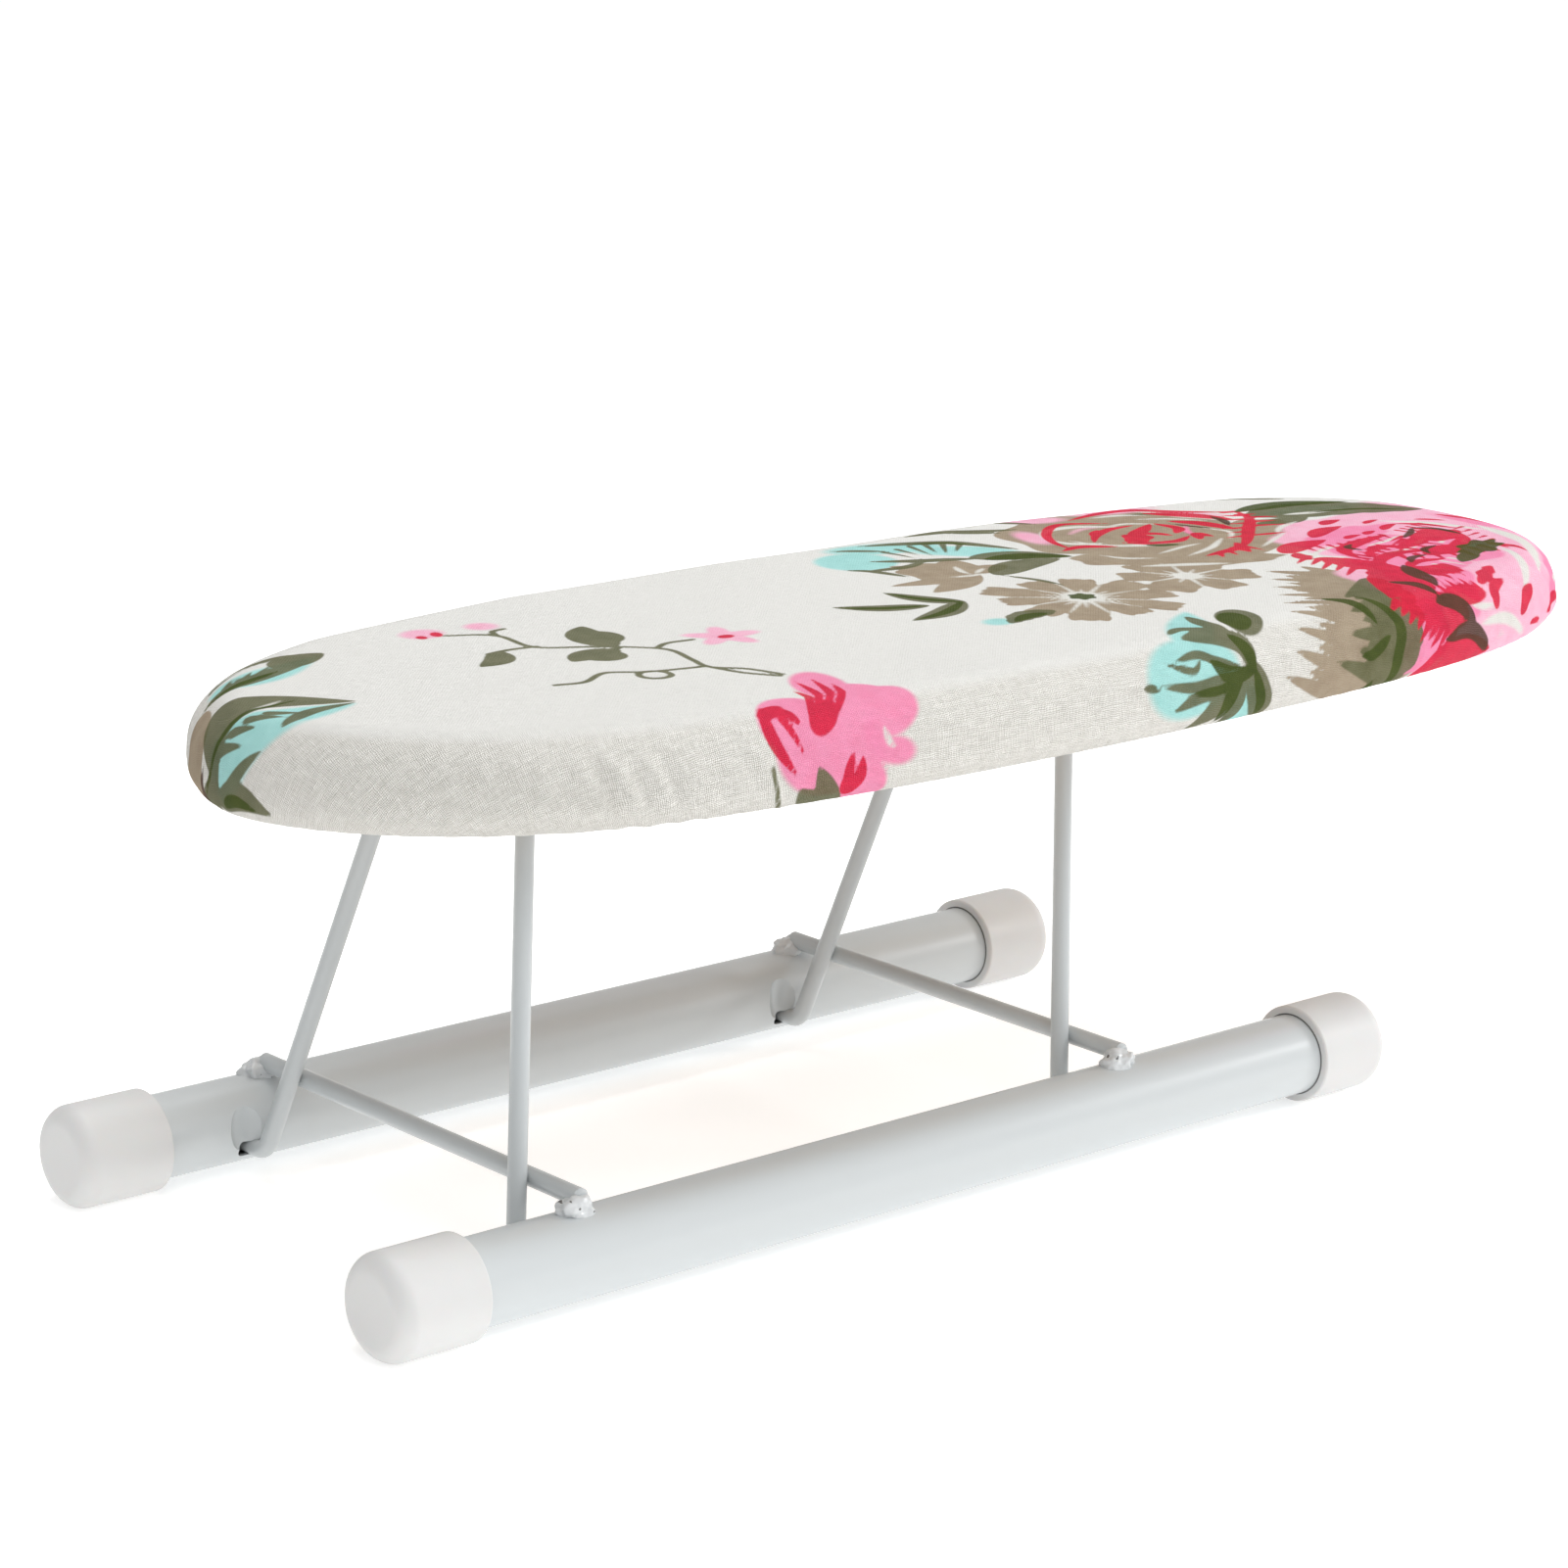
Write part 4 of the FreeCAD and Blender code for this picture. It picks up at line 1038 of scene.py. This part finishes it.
def draw_fringed_leaf(ink):
    """A broad leaf, tan at its jagged edge and dark green towards its base."""
    roots = [(138, -52), (128, -76), (120, -98), (112, -116)]
    tips = [(122, -31), (101, -54), (79, -80), (66, -100)]
    ink.blobs(
        "tan",
        ((122, -72), 16, 30, -22), ((112, -98), 22, 17, 0),
    )
    ink.fringes(
        "tan",
        (roots, tips, 17, 9), (roots, [(136, -33), (112, -48), (92, -72), (84, -108)], 21, 9),
    )
    ink.blob("olive", (118, -97), 12, 17, 0, 6, 0.12)
    ink.fringe("olive", [(138, -62), (124, -108)], [(112, -74), (90, -98)], 7, 9)
    ink.strokes(
        "green",
        ([(116, -74), (122, -88), (120, -102), (126, -116)], 5),
        ([(116, -92), (108, -97), (102, -97)], 4), ([(110, -106), (114, -112), (122, -118)], 4),
    )
    ink.leaf("green", (105, -70), (112, -88), 5, 0.1)


def draw_print(flat):
    """The whole print. What the rear side and the hem show repeats the same flowers."""
    ink = Print(flat)
    draw_nose_leaves(ink)
    draw_vine(ink)
    draw_rosebud(ink)
    draw_twig(ink)
    draw_rear_leaves(ink)
    draw_small_flower(ink)
    draw_daisies(ink)
    draw_rose(ink)
    draw_tail_leaf(ink)
    draw_peony(ink)
    draw_skirt_leaf(ink)
    draw_fringed_leaf(ink)
    ink.move(60, 205, 160, (-105, -90))
    draw_rosebud(ink)
    ink.move(-160, 122, 25)
    draw_twig(ink)
    ink.move(40, 112, 200)
    draw_twig(ink)
    ink.move(-30, 215, 150, (40, -90))
    draw_skirt_leaf(ink)
    ink.move(-25, -136, -10)
    draw_twig(ink)
    return ink.fields


# ---------------------------------------------------------------- meshes of the board's layers


def new_object(name, points, faces, material, body):
    """A smooth-shaded mesh object that rides on a body."""
    mesh = bpy.data.meshes.new(name)
    mesh.from_pydata([tuple(p) for p in points], [], faces)
    mesh.polygons.foreach_set("use_smooth", [True] * len(mesh.polygons))
    mesh.materials.append(material)
    mesh.update()
    piece = bpy.data.objects.new(name, mesh)
    bpy.context.scene.collection.objects.link(piece)
    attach(piece, body)
    return piece


def ring_faces(rings, count):
    """Quads between consecutive closed rings of count points each."""
    first = np.arange(rings - 1)[:, None] * count
    here = np.arange(count)[None, :]
    after = (here + 1) % count
    quads = np.stack([first + here, first + after, first + count + after, first + count + here], -1)
    return quads.reshape(-1, 4).tolist()


def edge_profile():
    """Insets, heights and cloth lengths down the board's edge, from its top edge to its underside.

    The length is counted from where the top starts to round down."""
    quarter = math.pi / 2
    fall = TOP - TOP_ROUND - UNDER - LOW_ROUND
    rows = []
    steps = round(TOP_ROUND * quarter / STEP)
    for i in range(steps):
        a = quarter * i / steps
        drop = TOP_ROUND * (1 - math.cos(a))
        rows.append((TOP_ROUND * (1 - math.sin(a)), TOP - drop, TOP_ROUND * a))
    done = TOP_ROUND * quarter
    steps = round(fall / STEP)
    for i in range(steps):
        drop = fall * i / steps
        rows.append((0.0, TOP - TOP_ROUND - drop, done + drop))
    done += fall
    steps = round(LOW_ROUND * quarter / STEP)
    for i in range(steps + 1):
        a = quarter * i / steps
        drop = LOW_ROUND * (1 - math.sin(a))
        rows.append((LOW_ROUND * (1 - math.cos(a)), UNDER + drop, done + LOW_ROUND * a))
    return rows


SPINE_FROM, SPINE_TO = NOSE + 0.062, TAIL - 0.070  # ends of the line that the top's rings grow from


def middle_of(points):
    """The nearest point of the board's middle line to each point."""
    return np.stack([np.clip(points[:, 0], SPINE_FROM, SPINE_TO), np.zeros(len(points))], axis=1)


def top_rings(edge, height):
    """Rings that close the flat top, from the middle line out to the edge loop."""
    middle = middle_of(edge)
    widest = np.linalg.norm(edge - middle, axis=1).max()
    count = round(widest / STEP)
    rings = []
    for i in range(count):
        share = i / count
        ring = middle + (edge - middle) * share
        rings.append(np.column_stack([ring, np.full(len(ring), height)]))
    return rings


HEM_INSET = 0.0249  # where the cloth starts to turn round the elastic
HEM_END = 0.0282
HEM_LOW = 0.1284
HEM_TURNS = 7
HEM_PUCKERS = 260  # small puckers round the elastic
HEM_SAG = 0.0004
GATHER = 0.0060  # depth of the deepest folds on the board's side
UNDER_GATHER = 0.0016
FOLDS_FROM, FOLDS_OVER = 0.005, 0.021  # cloth length at which folds start, and over which they deepen
SLANT = 0.42  # how far the folds lean, in shares of the way round per metre of cloth
BEND_PASSES = 60


def bump_at(run, centre, width):
    """A smooth hump round the edge, 1 at its centre."""
    away = np.abs((run - centre + 0.5) % 1.0 - 0.5)
    return np.exp(-((away / width) ** 2))


def gathers(run):
    """Uneven folds, from 0 to about 1, by the share of the way round the edge.

    They are deepest in two patches, at the front and the rear of the nose, and shallow at the
    board's two ends."""
    sway = 0.8 * np.sin(2 * np.pi * 5 * run) + 0.5 * np.sin(2 * np.pi * 11 * run + 1.0)
    waves = np.zeros(len(run))
    for count, share, phase in ((113, 1.0, 0.4), (139, 0.8, 2.1), (61, 0.5, 4.0), (187, 0.3, 1.3)):
        waves += share * np.sin(2 * np.pi * count * run + phase + sway * 2)
    patches = 0.24 + 0.1 * np.sin(2 * np.pi * 9 * run + 1.0)
    for centre, width, more in ((0.908, 0.034, 0.72), (0.12, 0.04, 0.4)):
        patches += more * bump_at(run, centre, width)
    for end, width in ((0.0, 0.045), (0.5, 0.05)):
        patches *= 1 - 0.8 * bump_at(run, end, width)
    return patches * (0.5 + waves / 5.2)


def pull(normal, edge):
    """How strongly the hem gathers the cloth round the edge: most where the outline bends."""
    turn = np.linalg.norm(np.roll(normal, -1, axis=0) - np.roll(normal, 1, axis=0), axis=1)
    gap = np.linalg.norm(np.roll(edge, -1, axis=0) - np.roll(edge, 1, axis=0), axis=1)
    bend = turn / gap
    for _ in range(BEND_PASSES):
        bend = (np.roll(bend, 1) + bend + np.roll(bend, -1)) / 3
    return np.clip(0.2 + bend / 14.0, 0, 1)


def skirt_rings(edge, normal):
    """Rings of the cover from its top edge down and round the elastic, with cloth lengths."""
    rows = edge_profile()
    start, _, done = rows[-1]
    steps = round((HEM_INSET - start) / STEP)
    for i in range(1, steps + 1):
        inset = start + (HEM_INSET - start) * i / steps
        rows.append((inset, UNDER, done + inset - start))
    full = rows[-1][2]
    share = np.arange(PERIMETER_STEPS) / PERIMETER_STEPS
    strength = pull(normal, edge)
    rings = []
    for inset, height, length in rows[1:]:
        slant = share + length * SLANT
        fold = gathers(slant % 1.0) * strength
        depth = min(max((length - FOLDS_FROM) / FOLDS_OVER, 0), 1) ** 1.3
        aside = min(max((height - UNDER) / LOW_ROUND, 0), 1)
        ring = loop(inset)
        ring = ring + outward(ring) * (fold * depth * aside * GATHER)[:, None]
        drop = fold * depth * (1 - aside) * UNDER_GATHER
        rings.append(np.column_stack([ring, height - drop]))
    wander = 3 * np.sin(2 * np.pi * 9 * share)
    tight = 0.5 + 0.5 * np.sin(2 * np.pi * HEM_PUCKERS * share + wander)
    for i in range(1, HEM_TURNS + 1):
        a = math.pi * i / HEM_TURNS
        inset = HEM_INSET + (HEM_END - HEM_INSET) * (1 - math.cos(a)) / 2
        height = UNDER - (UNDER - HEM_LOW) * math.sin(a) - HEM_SAG * i / HEM_TURNS
        puff = UNDER_GATHER * 0.7 * tight * math.sin(a)
        rings.append(np.column_stack([loop(inset), height - puff]))
        rows.append((inset, height, full + (HEM_END - HEM_INSET) * 0.75 * a))
    return rings, [length for _, _, length in rows]


def make_cover():
    """The cover: one sheet of cloth over the pad, round its edge and turned under the deck."""
    edge = loop(TOP_ROUND)
    normal = outward(edge)
    rings = top_rings(edge, TOP)
    flat = [ring[:, :2] for ring in rings]
    rings.append(np.column_stack([edge, np.full(PERIMETER_STEPS, TOP)]))
    skirt, lengths = skirt_rings(edge, normal)
    rings += skirt
    flat += [edge + normal * length for length in lengths]
    points = np.concatenate(rings)
    flat = np.concatenate(flat) / MM
    points[:, 2] -= hollows(points, flat)
    faces = ring_faces(len(rings), PERIMETER_STEPS)
    piece = new_object("fabric_cover", points, faces, printed_cotton(), "board")
    keep_floats(piece.data, "flat_mm", np.column_stack([flat, np.zeros(len(flat))]))
    close_middle(piece.data)
    ink = draw_print(read_floats(piece.data, "flat_mm")[:, :2])
    for dye, field in ink.items():
        keep_floats(piece.data, f"dye_{dye}", field)
    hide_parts("cover")
    return piece


SWELLS = 0.014  # swells for each mm of cloth
SWELL_DEPTH = 0.0008


def hollows(points, flat):
    """The top's soft unevenness, in metres down: low swells of the pad under the cloth."""
    depth = np.zeros(len(points))
    for i in np.nonzero(points[:, 2] > TOP - 0.006)[0]:
        x, y = flat[i] * SWELLS
        depth[i] = abs(noise.noise(Vector((x, y, 0.3)))) * SWELL_DEPTH
    return depth


def keep_floats(mesh, name, values):
    """Stores a number or a vector for each point of the mesh."""
    kind, key = ("FLOAT_VECTOR", "vector") if values.ndim == 2 else ("FLOAT", "value")
    layer = mesh.attributes.new(name, kind, "POINT")
    layer.data.foreach_set(key, values.astype(np.float32).ravel())


def read_floats(mesh, name):
    """The vectors stored for the mesh's points."""
    values = np.empty(len(mesh.vertices) * 3, np.float32)
    mesh.attributes[name].data.foreach_get("vector", values)
    return values.reshape(-1, 3).astype(float)


def close_middle(mesh):
    """Joins the points that meet on the board's middle line."""
    shape = bmesh.new()
    shape.from_mesh(mesh)
    bmesh.ops.remove_doubles(shape, verts=shape.verts, dist=0.00001)
    bmesh.ops.recalc_face_normals(shape, faces=shape.faces)
    shape.to_mesh(mesh)
    shape.free()


PAD_VOXEL = 0.003


def make_pad():
    """The foam pad, which the cover hides: the CAD pad's room, remeshed and softened."""
    copy = NODES["pad"].data.copy()
    pad = bpy.data.objects.new("foam_pad", copy)
    bpy.context.scene.collection.objects.link(pad)
    remesh = pad.modifiers.new("remesh", "REMESH")
    remesh.mode = "VOXEL"
    remesh.voxel_size = PAD_VOXEL
    soften = pad.modifiers.new("soften", "SMOOTH")
    soften.factor = 0.5
    soften.iterations = 2
    graph = bpy.context.evaluated_depsgraph_get()
    shape = bpy.data.meshes.new_from_object(pad.evaluated_get(graph))
    pad.modifiers.clear()
    pad.data = shape
    shape.materials.clear()
    shape.materials.append(soft_foam())
    shape.polygons.foreach_set("use_smooth", [True] * len(shape.polygons))
    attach(pad, "board")
    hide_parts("pad")


BAND_OUTER, BAND_INNER = 0.0254, 0.0276  # the elastic's insets from the board's outline
BAND_SLIM = 0.0002


def make_elastic():
    """The elastic inside the hem: a closed band, a little slimmer than its CAD solid."""
    box_low, box_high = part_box("hem_elastic")
    low = box_low.z + BAND_SLIM
    high = box_high.z - BAND_SLIM
    corners = (
        (BAND_OUTER, low),
        (BAND_INNER, low),
        (BAND_INNER, high),
        (BAND_OUTER, high),
        (BAND_OUTER, low),
    )
    rings = []
    for inset, height in corners:
        rings.append(np.column_stack([loop(inset), np.full(PERIMETER_STEPS, height)]))
    faces = ring_faces(len(rings), PERIMETER_STEPS)
    points = np.concatenate(rings)
    piece = new_object("hem_band", points, faces, woven_elastic(), "board")
    close_middle(piece.data)
    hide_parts("hem_elastic")


# ---------------------------------------------------------------- metal, plastic and board


BEAD_HALF = Vector((0.0058, 0.0043, 0.0042))
BEAD_OFFSET = Vector((-0.0020, 0, -0.0004))  # from the middle of the CAD saddle
# The ring of painted shade at each cap's mouth: its half width, its lift and its steps round.
GAP_SHADE_HALF = 0.00028
GAP_SHADE_LIFT = 0.00012  # above the rail's surface
GAP_SHADE_STEPS = 96


def make_weld(node, paint, seed):
    """A lumpy bead of weld under a rod's end, in the room of its CAD saddle."""
    low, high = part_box(node)
    middle = (low + high) / 2 + BEAD_OFFSET
    mesh = bpy.data.meshes.new(node + "_bead")
    shape = bmesh.new()
    bmesh.ops.create_icosphere(shape, subdivisions=5, radius=1.0)
    for vert in shape.verts:
        facing = vert.co.normalized()
        lump = noise.noise(facing * 1.5 + Vector((seed, 0, 0)))
        drip = noise.noise(facing * 3.6 + Vector((0, seed, 0)))
        size = 1.0 + 0.3 * lump + 0.12 * drip
        vert.co = middle + facing * BEAD_HALF * size
    for face in shape.faces:
        face.smooth = True
    shape.to_mesh(mesh)
    shape.free()
    mesh.materials.append(paint)
    bead = bpy.data.objects.new(node + "_bead", mesh)
    bpy.context.scene.collection.objects.link(bead)
    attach(bead, "base")
    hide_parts(node)


def make_gap_shade_ring(cap, material):
    """A thin dark ring of painted shade where a cap's mouth meets its rail, standing for the shadow
    in the gap.
    """
    low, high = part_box(cap)
    rail_low, rail_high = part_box("rail_front")
    mouth = high.x if low.x + high.x < rail_low.x + rail_high.x else low.x
    centre = (low + high) / 2
    radius = (rail_high.z - rail_low.z) / 2 + GAP_SHADE_LIFT
    turn = np.linspace(0, 2 * np.pi, GAP_SHADE_STEPS, endpoint=False)
    rings = []
    for along, out in ((-1, 0), (0, 1), (1, 0), (0, -1), (-1, 0)):
        reach = radius + out * GAP_SHADE_HALF
        x = np.full(GAP_SHADE_STEPS, mouth + along * GAP_SHADE_HALF)
        y = centre.y + reach * np.cos(turn)
        z = centre.z + reach * np.sin(turn)
        rings.append(np.column_stack([x, y, z]))
    points = np.concatenate(rings)
    faces = ring_faces(len(rings), GAP_SHADE_STEPS)
    name = cap.replace("end_cap", "cap_gap_shade")
    piece = new_object(name, points, faces, material, "base")
    close_middle(piece.data)


def finish_cad():
    """Gives each CAD node that stays in view its real finish."""
    wire = powder_coat("wire_coat", WIRE_GREY)
    zinc = zinc_plate()
    finishes = {
        "rail_": powder_coat("rail_coat", RAIL_GREY),
        "cross_rod_": wire,
        "leg_frame_": wire,
        "end_cap_": moulded_plastic(),
        "deck": fibre_board(),
        "leg_clip_": zinc,
        "clip_screws": zinc,
    }
    for name, node in NODES.items():
        for start, material in finishes.items():
            if name.startswith(start):
                for slot in node.material_slots:
                    slot.link = "OBJECT"
                    slot.material = material
    saddles = sorted(name for name in NODES if name.startswith("weld_saddle"))
    weld = pitted_weld()
    for seed, name in enumerate(saddles):
        make_weld(name, weld, seed * 3.7)
    # Dark rings of painted shade at the caps' mouths.
    gap_shade_paint = painted_gap_shade()
    for name in sorted(name for name in NODES if name.startswith("end_cap")):
        make_gap_shade_ring(name, gap_shade_paint)


# ---------------------------------------------------------------- everything together


make_camera()
make_studio()
finish_cad()
make_pad()
make_elastic()
make_cover()
